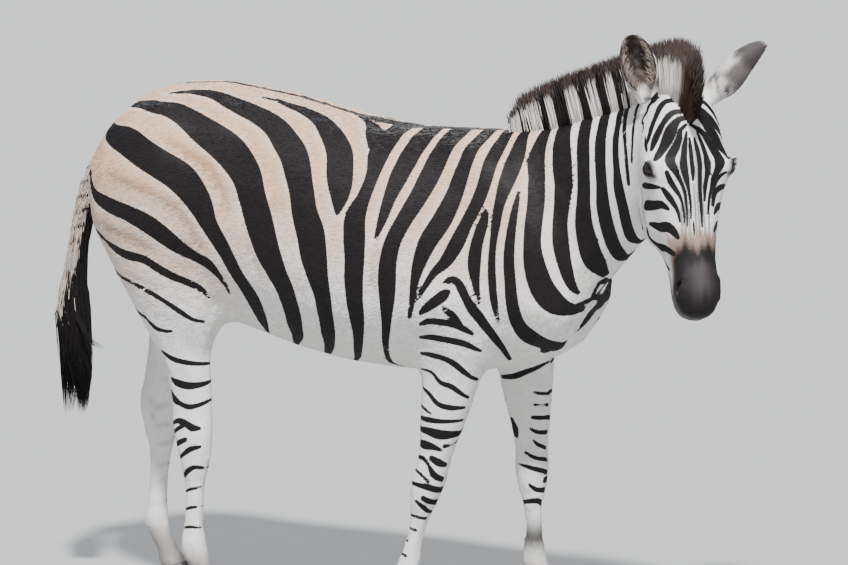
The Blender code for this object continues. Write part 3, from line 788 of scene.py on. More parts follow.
@dataclass(frozen=True)
class Mouth:
    """The line between the lips, round the muzzle from corner to corner.

    Attributes:
        line: half of it, from the front, as along, left and out.
        depth: how deep the line is.
        half: half its width.
    """

    line: Rows = (
        (0.534, 0.000, -0.084),
        (0.520, 0.030, -0.090),
        (0.490, 0.048, -0.097),
        (0.455, 0.052, -0.102),
        (0.418, 0.048, -0.103),
    )
    depth: float = 0.0035
    half: float = 0.0032

    def stroke(self, skin: Skin) -> "Stroke":
        """The line on the hide, from one corner to the other."""
        half = [np.array(row) for row in self.line]
        ends = [row * np.array((1, -1, 1)) for row in reversed(half[1:])] + half
        drawn = smooth_rows(np.array(ends), 0.006)
        places = np.array([skin.nearest(head_point(*row)) for row in drawn])
        return Stroke(places, np.full(len(places), self.half))

    def sculpt(self, skin: Skin) -> None:
        """Presses the line in and swells the lips beside it."""
        places, normals = points_of(skin.obj), normals_of(skin.obj)
        chosen, deep = self.stroke(skin).depth(places, 0.012)
        share = ramp(deep, -0.0015, self.half)
        lips = np.exp(-(((deep + 0.0045) / 0.0035) ** 2))
        places[chosen] += normals[chosen] * (0.0012 * lips - self.depth * share)[:, None]
        move_points(skin.obj, places)


# ---------------------------------------------------------------------------
# Markings
# ---------------------------------------------------------------------------


class Side(Enum):
    """From where a marking is laid on: the ray's start and its direction, in the layout frame."""

    RIGHT = ("y", -1.0)
    LEFT = ("y", 1.0)
    INSIDE_LEFT = ("mid", 1.0)
    INSIDE_RIGHT = ("mid", -1.0)
    FRONT = ("end", 1.0)
    REAR = ("end", -1.0)
    FACE = ("face", 0.0)
    CHEEK_RIGHT = ("cheek", -1.0)
    CHEEK_LEFT = ("cheek", 1.0)


class Ink(Enum):
    """What a marking is painted with."""

    BLACK = "black"
    SHADOW = "shadow"
    DUSK = "dusk"


@dataclass
class Stroke:
    """A painted stroke that lies on the hide.

    Attributes:
        places: its middle line.
        half: half its width at each place.
    """

    places: Array
    half: Array

    def depth(self, points: Array, reach: float) -> tuple[Array, Array]:
        """How deep points lie inside the stroke, for those within reach of it.

        Args:
            points: one row for each point.
            reach: how far outside the stroke a point still counts.

        Returns:
            The chosen points' numbers, and their depth, below 0 outside.
        """
        far = self.half.max() + reach
        low, high = self.places.min(0) - far, self.places.max(0) + far
        chosen = np.flatnonzero(((points > low) & (points < high)).all(1))
        best = np.full(len(chosen), -reach)
        near = points[chosen]
        for a, b, wa, wb in zip(self.places, self.places[1:], self.half, self.half[1:]):
            run = b - a
            share = np.clip((near - a) @ run / max(run @ run, 1e-12), 0, 1)
            gap = np.linalg.norm(near - a - share[:, None] * run, axis=1)
            best = np.maximum(best, wa + (wb - wa) * share - gap)
        return chosen, best


# The black line along the back, as forward and half width.
BACK_LINE = ((-0.6, 0.008), (-0.3, 0.010), (0.03, 0.011), (0.10, 0.026), (0.30, 0.022), (0.45, 0.010))
# How many times wider the stripes of trunk and neck are drawn than typed, by how far forward they lie.
FULLER = (
    (-0.5, 1.05),
    (-0.2, 1.14),
    (0.3, 1.22),
    (0.38, 1.30),
    (0.43, 1.15),
    (0.53, 1.15),
    (0.6, 1.24),
    (0.7, 1.10),
    (0.76, 1.08),
)


def metres(*strokes: Rows) -> tuple[Rows, ...]:
    """Strokes typed in millimetres, as metres."""
    return tuple(tuple(tuple(value / 1000 for value in row) for row in rows) for rows in strokes)


# Flank and haunch stripes on the right side, as forward, height and half width in millimetres.
BODY_STRIPES = metres(
    ((-570, 1212, 12), (-530, 1200, 26), (-480, 1190, 34), (-420, 1163, 34), (-360, 1135, 34),
     (-310, 1105, 35), (-265, 1055, 30), (-235, 1000, 21), (-200, 945, 19), (-170, 885, 18),
     (-140, 830, 20), (-130, 780, 18), (-135, 740, 10), (-145, 715, 3)),
    ((-560, 1248, 6), (-500, 1266, 16), (-450, 1271, 22), (-390, 1268, 26), (-330, 1248, 29),
     (-270, 1220, 33), (-200, 1180, 36), (-145, 1130, 34), (-120, 1080, 33), (-95, 1020, 34),
     (-70, 950, 32), (-48, 900, 27), (-28, 850, 24), (-22, 790, 22), (-32, 740, 17), (-52, 710, 10),
     (-85, 684, 4)),
    ((-430, 1294, 5), (-360, 1302, 11), (-300, 1299, 16), (-250, 1288, 21), (-200, 1275, 23),
     (-150, 1260, 24), (-100, 1238, 26), (-60, 1210, 29), (-30, 1183, 30), (-8, 1150, 30), (15, 1100, 28),
     (31, 1050, 30), (52, 1000, 33), (61, 950, 31), (70, 900, 25), (78, 850, 20), (77, 800, 18),
     (69, 750, 17), (50, 710, 12), (20, 680, 8), (-5, 665, 3)),
    ((-180, 1297, 4), (-140, 1292, 6), (-100, 1283, 10), (-50, 1271, 15), (0, 1254, 20), (40, 1232, 24),
     (70, 1208, 26), (90, 1183, 28), (103, 1150, 29), (113, 1120, 26), (118, 1090, 18), (118, 1055, 5)),
    ((50, 1262, 3), (90, 1252, 7), (130, 1238, 17), (170, 1210, 22)),
    ((188, 1250, 22), (183, 1200, 24), (188, 1150, 15), (180, 1100, 15), (166, 1050, 23), (168, 1000, 24),
     (170, 950, 22), (167, 900, 21), (165, 850, 19), (163, 800, 17), (153, 750, 12), (130, 700, 9),
     (106, 675, 6), (78, 658, 3)),
    ((270, 1260, 23), (264, 1200, 22), (255, 1150, 20), (244, 1100, 14), (235, 1050, 10), (222, 1000, 3)),
    ((345, 1260, 23), (338, 1200, 22), (329, 1150, 21), (312, 1100, 19), (288, 1050, 17), (266, 1000, 17),
     (255, 950, 18), (251, 900, 19), (247, 850, 16), (239, 800, 11), (225, 750, 8), (208, 700, 6),
     (200, 670, 7), (215, 655, 4)),
    ((418, 1260, 15), (415, 1200, 16), (407, 1150, 17), (397, 1100, 18), (378, 1050, 19), (350, 1000, 18),
     (331, 950, 14), (319, 900, 9), (310, 850, 6.5), (300, 810, 5)),
    ((468, 1260, 13), (474, 1200, 15), (472, 1150, 15), (461, 1100, 15), (440, 1050, 14), (420, 1000, 16),
     (394, 953, 12.5), (367, 925, 8), (346, 892, 6), (326, 857, 3)),
    ((486, 1085, 3), (480, 1050, 11), (468, 1000, 13), (463, 950, 14.5), (467, 900, 8.5), (475, 855, 3)),
    ((516, 1260, 11), (523, 1200, 18), (523, 1150, 17), (516, 1100, 12), (511, 1050, 10), (507, 1000, 8),
     (505, 950, 8.5), (506, 900, 9), (509, 850, 8), (513, 805, 3)),
    ((555, 1125, 3), (553, 1090, 7), (550, 1050, 9), (547, 1000, 11), (546, 950, 12), (549, 900, 12.5),
     (552, 850, 14), (559, 800, 16), (578, 770, 20), (602, 750, 19), (622, 735, 17)),
    ((576, 1270, 11), (574, 1200, 18), (587, 1150, 17.5), (595, 1100, 17.5), (598, 1050, 17.5),
     (600, 1000, 17.5), (607, 950, 22), (622, 900, 25), (645, 865, 25), (670, 845, 18), (690, 835, 8)),
    ((676, 838, 8), (700, 855, 7), (722, 878, 6), (738, 902, 6)),
    ((392, 900, 4), (408, 911, 7), (425, 903, 9), (436, 882, 10), (446, 860, 10), (457, 838, 12),
     (470, 818, 12), (481, 798, 11), (492, 778, 10), (500, 755, 9), (507, 730, 7), (507, 700, 5)),
    ((327, 820, 4), (342, 833, 8), (365, 850, 10), (388, 868, 11), (398, 878, 8)),
    ((393, 836, 6), (405, 826, 8), (416, 812, 8), (424, 797, 7)),
    ((325, 793, 4), (350, 803, 7), (385, 802, 7.5), (410, 798, 8), (430, 788, 8), (450, 775, 5)),
    ((-598, 1095, 4), (-580, 1052, 13), (-530, 1032, 19), (-470, 1017, 20), (-410, 995, 23),
     (-360, 962, 22), (-320, 935, 18), (-280, 915, 14), (-250, 900, 15), (-225, 872, 9), (-210, 845, 6),
     (-205, 825, 3)),
    ((-550, 935, 3), (-520, 920, 10), (-480, 907, 12), (-430, 900, 11), (-390, 880, 11), (-350, 860, 10),
     (-310, 845, 9), (-280, 830, 8), (-265, 810, 3)),
    ((-480, 838, 3), (-460, 832, 6), (-420, 815, 7), (-380, 795, 6), (-340, 770, 7), (-310, 752, 5),
     (-285, 745, 3)),
    ((-445, 745, 3), (-430, 730, 6), (-410, 718, 6), (-380, 715, 4), (-370, 717, 2)),
)

NECK_STRIPES = metres(
    ((625, 1290, 17), (632, 1250, 20), (645, 1200, 24), (657, 1150, 22), (657, 1100, 18), (655, 1050, 16),
     (660, 1000, 18), (670, 950, 16), (683, 900, 12), (692, 875, 4)),
    ((688, 1320, 18), (698, 1250, 18), (708, 1200, 18), (713, 1150, 17), (713, 1100, 17.5),
     (712, 1050, 21), (720, 1000, 24), (730, 955, 24), (742, 925, 13)),
    ((745, 1340, 15), (753, 1250, 18), (760, 1200, 16), (765, 1150, 16), (767, 1100, 18), (773, 1050, 18),
     (782, 1000, 17), (790, 975, 16), (800, 965, 6)),
    ((790, 1360, 12), (800, 1300, 11), (803, 1250, 11), (810, 1200, 11), (815, 1150, 15), (823, 1100, 15),
     (826, 1050, 14), (831, 1020, 13), (845, 1010, 6)),
    ((815, 1360, 10), (825, 1300, 8), (838, 1250, 6.5), (844, 1200, 6.5), (846, 1165, 6)),
    ((855, 1360, 7), (860, 1300, 6), (862, 1260, 5), (861, 1220, 4.5)),
)

# Leg stripes on the right legs, as forward, height and half width. The left legs take them shifted.
FORE_STRIPES = metres(
    ((315, 757, 3), (350, 760, 6), (390, 757, 6), (430, 748, 6), (463, 730, 3)),
    ((310, 714, 3), (340, 713, 5), (375, 708, 5), (400, 695, 6), (420, 675, 5), (440, 652, 3)),
    ((300, 673, 2), (335, 668, 3), (360, 645, 4), (390, 635, 5), (420, 607, 3)),
    ((297, 628, 2), (325, 613, 4), (350, 590, 4.5), (380, 582, 5), (410, 582, 3)),
    ((285, 583, 2), (310, 573, 3), (330, 563, 2)),
    ((280, 549, 3), (320, 547, 5), (360, 546, 4), (400, 548, 3)),
    ((280, 520, 4), (320, 518, 7), (350, 512, 9), (380, 512, 7), (405, 518, 4)),
    ((280, 484, 4), (305, 482, 8), (330, 480, 6), (350, 472, 3)),
    ((360, 482, 4), (380, 490, 3)),
    ((280, 448, 3), (305, 447, 4), (320, 430, 3), (330, 410, 6), (345, 395, 5)),
    ((327, 450, 5), (343, 440, 7), (355, 432, 4)),
    ((267, 415, 2), (290, 412, 3), (317, 392, 3)),
    ((260, 383, 3), (290, 380, 4), (320, 375, 6), (340, 365, 6)),
    ((303, 347, 5), (325, 333, 6)),
    ((283, 338, 3), (300, 323, 5), (310, 307, 3)),
    ((250, 300, 2), (280, 297, 3), (300, 293, 3)),
    ((240, 268, 2), (275, 262, 3)),
    ((225, 235, 2), (250, 232, 3)),
    ((225, 200, 2), (250, 196, 3)),
)

HIND_STRIPES = metres(
    ((-410, 660, 3), (-380, 645, 5), (-350, 638, 5), (-320, 634, 4), (-290, 631, 3)),
    ((-385, 590, 4), (-370, 582, 7), (-340, 577, 7), (-310, 580, 5), (-290, 586, 3)),
    ((-393, 555, 5), (-385, 540, 9), (-365, 530, 5), (-340, 523, 5), (-315, 528, 4), (-290, 540, 3)),
    ((-390, 475, 3), (-370, 485, 5), (-350, 482, 6), (-330, 471, 7), (-310, 470, 3)),
    ((-390, 450, 3), (-367, 467, 4), (-350, 475, 3)),
    ((-387, 417, 3), (-367, 430, 5), (-347, 440, 4)),
    ((-373, 387, 3), (-353, 403, 4), (-333, 417, 5), (-310, 423, 3)),
    ((-360, 343, 4), (-347, 357, 5), (-327, 370, 4), (-303, 367, 3)),
    ((-365, 300, 2), (-340, 312, 3), (-315, 318, 2)),
    ((-365, 255, 2), (-340, 265, 3), (-318, 268, 2)),
    ((-365, 210, 2), (-340, 216, 3), (-318, 214, 2)),
)

# Short dashes on the inside of the left foreleg, its chestnut, and the line up from it to the breast.
INSIDE_FORE_STRIPES = metres(
    ((400, 615, 4), (440, 622, 6), (470, 635, 6), (500, 648, 5), (520, 660, 3)),
    ((490, 583, 3), (515, 578, 4)),
    ((490, 552, 3), (513, 550, 4)),
    ((485, 520, 4), (512, 518, 5)),
    ((478, 492, 3), (492, 483, 4), (510, 480, 5)),
    ((485, 462, 2), (495, 450, 4), (510, 440, 4)),
    ((465, 430, 3), (490, 418, 4), (515, 410, 4)),
    ((445, 400, 2), (470, 395, 4), (497, 388, 5), (515, 378, 5)),
    ((475, 350, 3), (490, 337, 5), (510, 332, 6)),
    ((450, 300, 4), (470, 305, 5), (490, 307, 6), (500, 295, 4)),
    ((426, 505, 8), (432, 485, 12), (438, 470, 6)),
)

# The band across the breast, as sideways, height and half width.
BREAST_STRIPES = metres(
    ((-82, 727, 15), (-74, 737, 11), (-64, 750, 5)),
    ((-58, 772, 4), (-45, 792, 11), (-30, 810, 14), (0, 828, 13), (50, 832, 13), (100, 845, 8)),
    ((-40, 898, 9), (0, 900, 11), (50, 885, 8)),
    ((130, 730, 10), (100, 770, 14), (60, 785, 8)),
)

# Stripes of the forehead and nose, seen square to the face: sideways, along and half width.
FACE_STRIPES = metres(
    ((-6, 100, 2), (-5, 120, 3.5), (-5, 150, 4), (-4, 180, 4), (-5, 200, 2)),
    ((6, 100, 2), (10, 120, 4), (13.5, 140, 4.5), (15, 165, 4.5), (13, 190, 4), (11, 230, 3.5),
     (12, 260, 3), (12, 310, 2)),
    ((-12, 85, 2), (-19, 120, 5), (-22.5, 140, 5.5), (-25, 160, 7), (-23.5, 180, 6.5), (-20, 200, 5),
     (-17, 220, 3), (-14, 250, 2.5), (-14, 290, 1.5)),
    ((14, 85, 2), (25, 115, 4), (32, 140, 5), (34.5, 160, 6.5), (34, 180, 5.5), (29, 200, 4.5),
     (24.5, 220, 4), (22, 250, 2)),
    ((-12, 68, 3), (-26, 80, 4), (-31, 100, 6), (-40, 120, 7), (-50, 135, 7), (-56, 150, 7),
     (-52, 165, 6), (-44, 180, 5), (-37, 195, 4), (-31, 210, 3.5), (-25, 235, 3), (-23, 270, 2),
     (-24, 310, 1)),
    ((0, 68, 3), (26, 85, 5), (40, 105, 6), (54, 125, 7), (65, 143, 7.5), (68, 158, 8), (62, 175, 6),
     (53, 190, 5), (46, 205, 4), (40, 225, 3), (34, 250, 3), (29, 280, 2)),
    ((-5, 52, 4), (-22, 52, 5), (-36, 62, 7), (-48, 80, 9), (-57, 100, 8), (-68, 120, 6), (-80, 136, 5),
     (-88, 145, 3)),
    ((0, 45, 4), (20, 45, 5), (34, 60, 7), (50, 80, 9), (66, 100, 9), (80, 120, 8), (90, 135, 6),
     (94, 148, 3)),
    ((-8, 35, 4), (-35, 35, 5), (-50, 45, 5), (-62, 60, 4), (-73, 80, 5), (-82, 100, 5), (-89, 118, 3)),
    ((0, 28, 5), (30, 32, 7), (50, 50, 7), (70, 67, 6), (86, 85, 5), (96, 105, 3)),
    ((-20, 5, 6), (-45, 5, 6), (-62, 20, 5), (-75, 45, 4), (-85, 70, 4), (-94, 100, 3)),
    ((20, 0, 6), (45, 8, 6), (65, 30, 5), (80, 50, 5), (95, 75, 3)),
    ((-55, -15, 5), (-72, 5, 5), (-86, 35, 3), (-95, 70, 2)),
    ((-33, 250, 2), (-30, 280, 2), (-31, 305, 1)),
    ((-66, 178, 3), (-58, 198, 4), (-48, 216, 4), (-38, 235, 3), (-33, 250, 2)),
    ((-10, 295, 1), (-9, 310, 2), (-9, 330, 1)),
    ((-72, 215, 3), (-62, 232, 4.5), (-52, 250, 4), (-43, 270, 3), (-39, 295, 2)),
    ((85, 183, 2), (70, 190, 3), (57, 205, 3), (48, 228, 3), (42, 260, 2)),
    ((98, 213, 3), (78, 215, 4), (62, 222, 4.5), (53, 236, 3), (47, 262, 2)),
    ((98, 258, 3), (78, 258, 4.5), (60, 264, 5.5), (50, 278, 3)),
    ((90, 294, 3), (72, 298, 4), (58, 305, 5), (47, 320, 3)),
)

# Fine grey lines down the nose.
NOSE_LINES = metres(
    ((-37, 225, 1.5), (-35, 270, 2.2), (-36, 325, 1.2)),
    ((-28.5, 235, 1.5), (-27, 280, 2.2), (-28, 335, 1.2)),
    ((-19, 265, 1.5), (-18.5, 300, 2.2), (-19, 340, 1.2)),
    ((-4, 210, 1.5), (-3, 260, 2.5), (-3, 335, 1.2)),
    ((4.5, 230, 1.5), (4.5, 280, 2.2), (5, 330, 1.2)),
    ((17.5, 240, 1.5), (18, 280, 2.2), (19, 330, 1.2)),
    ((35, 250, 1.5), (32, 290, 2.2), (30, 335, 1.2)),
)

# Bars of the cheek, seen from the side of the head: out of the face, along it and half width.
CHEEK_STRIPES = metres(
    ((-102, 196, 3), (-85, 198, 6), (-60, 201, 7.5), (-40, 206, 6), (-27, 210, 3)),
    ((-113, 248, 4), (-100, 244, 10), (-80, 246, 10), (-60, 248, 9), (-40, 250, 8), (-28, 262, 4)),
    ((-110, 287, 3), (-95, 292, 7), (-75, 300, 9), (-55, 302, 10), (-40, 305, 10), (-30, 318, 8),
     (-24, 332, 4)),
    ((-128, 295, 3), (-138, 315, 5), (-130, 330, 6), (-115, 342, 8), (-100, 346, 8), (-80, 350, 7),
     (-60, 358, 7), (-42, 368, 5)),
    ((-145, 345, 2), (-125, 375, 4), (-100, 392, 4), (-80, 402, 3)),
    ((-190, 288, 2), (-170, 292, 3), (-155, 282, 2)),
    ((-58, 85, 2), (-55, 105, 5), (-48, 120, 3)),
)

CHEEK_SHADOWS = metres(
    ((-118, 205, 3), (-125, 240, 6), (-128, 280, 6)),
    ((-150, 220, 3), (-158, 250, 6), (-160, 275, 4)),
    ((-95, 28, 4), (-125, 30, 7), (-150, 25, 4)),
)

# Brown shadow stripes between the black ones, on the right side.
SHADOW_STRIPES = metres(
    ((-530, 1115, 4), (-480, 1100, 10), (-420, 1085, 11), (-360, 1060, 12), (-310, 1025, 14),
     (-270, 975, 12), (-250, 940, 5)),
    ((-360, 1200, 6), (-300, 1170, 14), (-240, 1140, 15), (-200, 1090, 10), (-180, 1040, 6)),
    ((-560, 985, 6), (-500, 965, 12), (-440, 950, 12), (-390, 925, 6)),
    ((-470, 860, 3), (-430, 850, 6), (-390, 835, 4)),
    ((-410, 765, 2), (-385, 757, 5), (-365, 752, 3)),
    ((-360, 815, 2), (-330, 800, 5), (-310, 790, 3)),
    ((235, 985, 3), (228, 940, 6), (225, 900, 6), (222, 875, 3)),
    ((-120, 980, 3), (-100, 930, 7), (-85, 890, 3)),
)


def spine_near(place: Array) -> Array:
    """The spine's nearest point seen from above, as forward, sideways and the way it heads in degrees."""
    spine = np.array(SPINE) + (*LAYOUT_TO_MODEL[:2], 0.0)
    found = []
    for a, b in zip(spine, spine[1:]):
        run = (b - a)[:2]
        share = np.clip((place[:2] - a[:2]) @ run / (run @ run), 0, 1)
        found.append(a + (b - a) * share)
    return min(found, key=lambda here: np.linalg.norm(place[:2] - here[:2]))


@dataclass
class Markings:
    """The animal's stripes and tones, read anywhere on the hide and by every hair.

    Attributes:
        skin: the hide that they lie on.
        features: the eye sockets and nostrils.
        mouth: the line between the lips.
        ears: the two ears.
        reach: how far outside a stroke its edge is still known.
        gap: how far apart a stroke's places are laid.
        strokes: the strokes laid so far, by what they are painted with.
    """

    skin: Skin
    features: list[EyeSocket | Nostril]
    mouth: Stroke
    ears: list[Ear]
    reach: float = 0.02
    gap: float = 0.012
    strokes: dict[Ink, list[Stroke]] = field(default_factory=lambda: {ink: [] for ink in Ink})

    def place(self, side: Side, u: float, v: float) -> Array | None:
        """Where a marking's point lands on the hide, or None past its outline."""
        way, sign = side.value
        if way == "face":
            start, towards = head_point(v, u, 0.35), -HEAD_AXES[:, 2]
        elif way == "cheek":
            start, towards = head_point(v, sign * 0.35, u), -sign * HEAD_AXES[:, 1]
        elif way == "end":
            start, towards = np.array((1.5 * sign, u, v)) + LAYOUT_TO_MODEL, np.array((-sign, 0.0, 0.0))
        else:
            start = np.array((u, 1.5 * sign if way == "y" else 0.0, v)) + LAYOUT_TO_MODEL
            towards = np.array((0.0, -sign if way == "y" else sign, 0.0))
        return self.skin.touched(start, towards)

    def add(self, ink: Ink, side: Side, rows: Rows) -> Stroke:
        """Lays one stroke on the hide.

        Args:
            ink: what it is painted with.
            side: from where it is laid on.
            rows: its points, as two coordinates and half a width.

        Returns:
            The stroke.
        """
        drawn = smooth_rows(np.array(rows), self.gap)
        found = [self.place(side, u, v) for u, v, _ in drawn]
        kept = [k for k, place in enumerate(found) if place is not None]
        stroke = Stroke(np.array([found[k] for k in kept]), np.maximum(drawn[kept, 2], 0.001))
        self.strokes[ink].append(stroke)
        return stroke

    def mirror(self, ink: Ink, stroke: Stroke, drift: float) -> None:
        """Lays a stroke's mirror image on the other side, a little different.

        Args:
            ink: what it is painted with.
            stroke: the stroke to mirror.
            drift: how far it may wander from a true mirror image.
        """
        seed = float(stroke.places[0].sum() * 40)
        made = []
        for k, place in enumerate(stroke.places):
            here = spine_near(place)
            across = np.array((-sin(radians(here[2])), cos(radians(here[2])), 0.0))
            offset = (place - np.array((here[0], here[1], 0.0))) @ across
            wander = drift * sin(seed + 0.35 * k)
            mirrored = place - 2 * offset * across
            made.append(self.skin.nearest(mirrored + np.array((wander, 0.0, 0.6 * wander))))
        self.strokes[ink].append(Stroke(np.array(made), stroke.half * (1 + 0.12 * sin(seed * 1.7))))

    def wrapped(self, ink: Ink, stroke: Stroke) -> None:
        """Carries a haunch band on round the rump, tapering towards the tail."""
        _, y, z = stroke.places[0] - LAYOUT_TO_MODEL
        share = np.array((1.0, 0.8, 0.6, 0.42, 0.28))
        half = max(stroke.half[:4].max() * 0.8, 0.0065) * np.array((0.9, 1.0, 0.85, 0.7, 0.5))
        rise = float(np.clip((1.17 - z) * 0.35, -0.015, 0.045))
        rows = [(y * t, z + rise * (1 - t**2), w) for t, w in zip(share, half)]
        self.add(ink, Side.REAR, tuple(rows))

    def depth(self, ink: Ink, points: Array) -> Array:
        """How deep points lie in an ink, and how far outside it as a value below 0."""
        best = np.full(len(points), -self.reach)
        for stroke in self.strokes[ink]:
            chosen, deep = stroke.depth(points, self.reach)
            best[chosen] = np.maximum(best[chosen], deep)
        return best

    def lay(self, legs: dict[str, "LegLine"]) -> None:
        """Lays every stroke.

        Args:
            legs: where each leg's middle runs, by the leg's name.
        """
        self.lay_body()
        self.lay_head()
        for rows in BREAST_STRIPES:
            self.add(Ink.BLACK, Side.FRONT, rows)
        self.lay_legs(legs)

    def lay_body(self) -> None:
        """Lays the stripes of trunk and neck and the shadows between them, on both sides."""
        for rows in (*BODY_STRIPES, *NECK_STRIPES):
            stroke = self.add(Ink.BLACK, Side.RIGHT, fuller(rows))
            self.mirror(Ink.BLACK, stroke, 0.006)
            if rows[0][0] < -0.43 and rows[0][1] < 1.24:
                self.wrapped(Ink.BLACK, stroke)
                self.wrapped(Ink.BLACK, self.strokes[Ink.BLACK][-2])
        for rows in SHADOW_STRIPES:
            self.mirror(Ink.SHADOW, self.add(Ink.SHADOW, Side.RIGHT, rows), 0.008)

    def lay_head(self) -> None:
        """Lays the stripes of the face, the lines of the nose and the bars of the cheeks."""
        for rows in FACE_STRIPES:
            times = [float(np.interp(abs(u), (0.035, 0.06), (1, 1.3))) for u, _, _ in rows]
            rows = tuple((u, v, half * t) for (u, v, half), t in zip(rows, times))
            self.add(Ink.BLACK, Side.FACE, widened(rows, 1.45, 1.5, 0.14, 0.27))
        for rows in NOSE_LINES:
            self.add(Ink.DUSK, Side.FACE, rows)
        for rows in CHEEK_STRIPES:
            self.add(Ink.BLACK, Side.CHEEK_RIGHT, widened(rows, 1.3, 1.3, 0, 1))
            back = tuple((u - 0.012, v + 0.008, half * 1.1) for u, v, half in rows if u < -0.045)
            self.add(Ink.BLACK, Side.CHEEK_LEFT, back)
        for rows in CHEEK_SHADOWS:
            self.add(Ink.SHADOW, Side.CHEEK_RIGHT, rows)
            self.add(Ink.SHADOW, Side.CHEEK_LEFT, rows)

    def lay_legs(self, legs: dict[str, "LegLine"]) -> None:
        """Lays the bars of the legs, the left pair's after the right pair's."""
        for rows in INSIDE_FORE_STRIPES:
            self.add(Ink.BLACK, Side.INSIDE_LEFT, widened(rows, 1.3, 1.3, 0, 1))
        for rows in (widened(rows, 1.5, 1.5, 0, 1) for rows in FORE_STRIPES):
            self.add(Ink.BLACK, Side.RIGHT, rows)
            self.add(Ink.BLACK, Side.LEFT, legs["fore_left"].moved(rows, legs["fore_right"], 0.008))
            if rows[-1][1] < 0.64:
                self.add(Ink.BLACK, Side.INSIDE_RIGHT, inner_ends(rows, legs["fore_right"]))
        for rows in (widened(rows, 1.45, 1.45, 0, 1) for rows in HIND_STRIPES):
            self.add(Ink.BLACK, Side.RIGHT, rows)
            self.add(Ink.BLACK, Side.LEFT, legs["hind_left"].moved(rows, legs["hind_right"], 0.010))
            self.add(Ink.BLACK, Side.INSIDE_RIGHT, inner_ends(rows, legs["hind_right"]))
            moved = legs["hind_left"].moved(rows, legs["hind_right"], 0.004)
            self.add(Ink.SHADOW, Side.INSIDE_LEFT, inner_ends(moved, legs["hind_left"]))

    def tone(self, points: Array) -> Array:
        """The hair's colour between the black stripes, with the dark muzzle, lids and feet."""
        colour = self.with_face(self.body_tone(points), points)
        colour = self.with_feet(self.with_lids(colour, points), points)
        for ear in self.ears:
            local = ear.local(points)
            chosen = np.flatnonzero(ear.near(local))
            share = ramp(local[chosen, 1], 0.012, 0.045)
            colour[chosen] = mix(colour[chosen], ear.tone(local[chosen]), share)
        return colour

    def body_tone(self, points: Array) -> Array:
        """White, with buff over the back and the haunches, and the shadow stripes."""
        x, _, z = (points - LAYOUT_TO_MODEL).T
        patchy = 0.02 * np.sin(x * 23 + z * 31) + 0.015 * np.sin(x * 51 - z * 43)
        warm = ramp(z + patchy, 0.80, 1.14) * ramp(x, 0.74, 0.50)
        warm = np.maximum(warm, 0.72 * ramp(z + patchy, 0.74, 0.94) * ramp(x, -0.05, -0.30))
        warm = warm * (0.72 + 0.28 * ramp(-self.depth(Ink.BLACK, points), 0.001, 0.012))
        colour = mix(PALETTE.white, PALETTE.buff, 0.95 * warm)
        shadow = ramp(self.depth(Ink.SHADOW, points), -0.008, 0.010)
        return mix(colour, mix(PALETTE.brown_shadow, PALETTE.leg_shadow, z < 0.80), 0.62 * shadow)

    def with_face(self, colour: Array, points: Array) -> Array:
        """A colour with the nose's grey lines, the rufous patch, the dark muzzle with a painted highlight
        down its middle, and the lips added.
        """
        laid = points - LAYOUT_TO_MODEL
        on_head = (laid[:, 0] > 0.72) & (laid[:, 2] > 0.80)
        along, left, out = in_head(points).T
        along = along + (0.005 * np.sin(left * 140 + 0.6) + 0.004 * np.sin(left * 330 + out * 60))
        lines = ramp(self.depth(Ink.DUSK, points), -0.0016, 0.0012)
        ridge = hill(left, 0.010, 0.011) * ramp(along, 0.11, 0.15) * ramp(along, 0.30, 0.22)
        dusk = np.maximum(0.8 * lines, 0.62 * ridge) * (out > -0.07) * on_head
        colour = mix(colour, PALETTE.nose_line, dusk)
        rufous = ramp(along, 0.300, 0.335) * ramp(out, -0.075, -0.045) * on_head
        colour = mix(colour, PALETTE.rufous, 0.85 * rufous)
        lobes = 0.010 * np.cos(left * 2 * pi / 0.052)
        front = ramp(along - lobes, 0.330, 0.372) * ramp(out, -0.074, -0.038)
        # Painted highlight: a lighter grey strip down the middle of the muzzle, mixed into its dark colour.
        painted_highlight = hill(left, 0.0, 0.026) * ramp(along, 0.375, 0.41) * ramp(along, 0.50, 0.44)
        dark = mix(PALETTE.muzzle, PALETTE.muzzle_painted_highlight, painted_highlight)
        colour = mix(colour, PALETTE.chin, ramp(along, 0.40, 0.47) * on_head)
        colour = mix(colour, dark, front * on_head)
        return mix(colour, dark, ramp(self.mouth_depth(points), -0.016, -0.002))

    def with_lids(self, colour: Array, points: Array) -> Array:
        """A colour with the bare skin of lids and nostrils and the brown hair round the eyes added."""
        bare = np.zeros(len(points))
        for feature in self.features:
            bare = np.maximum(bare, feature.darkness(points))
            if isinstance(feature, EyeSocket):
                colour = mix(colour, PALETTE.round_eye, 0.92 * feature.surround(points))
        return mix(colour, PALETTE.bare, bare)

    def with_feet(self, colour: Array, points: Array) -> Array:
        """A colour with the brown feet and a painted shade on the left fore fetlock added."""
        x, y, z = (points - LAYOUT_TO_MODEL).T
        # Painted shade: the left fore leg darkens round its fetlock, above the hoof.
        painted_fetlock_shade = hill(z, 0.215, 0.040) * (x > 0.3) * (y > 0.02)
        colour = mix(colour, PALETTE.painted_fetlock_shade, 0.93 * painted_fetlock_shade)
        return mix(colour, PALETTE.foot, 0.8 * ramp(z, 0.20, 0.10))

    def mouth_depth(self, points: Array) -> Array:
        """How deep points lie in the line between the lips."""
        chosen, deep = self.mouth.depth(points, self.reach)
        best = np.full(len(points), -self.reach)
        best[chosen] = deep
        return best

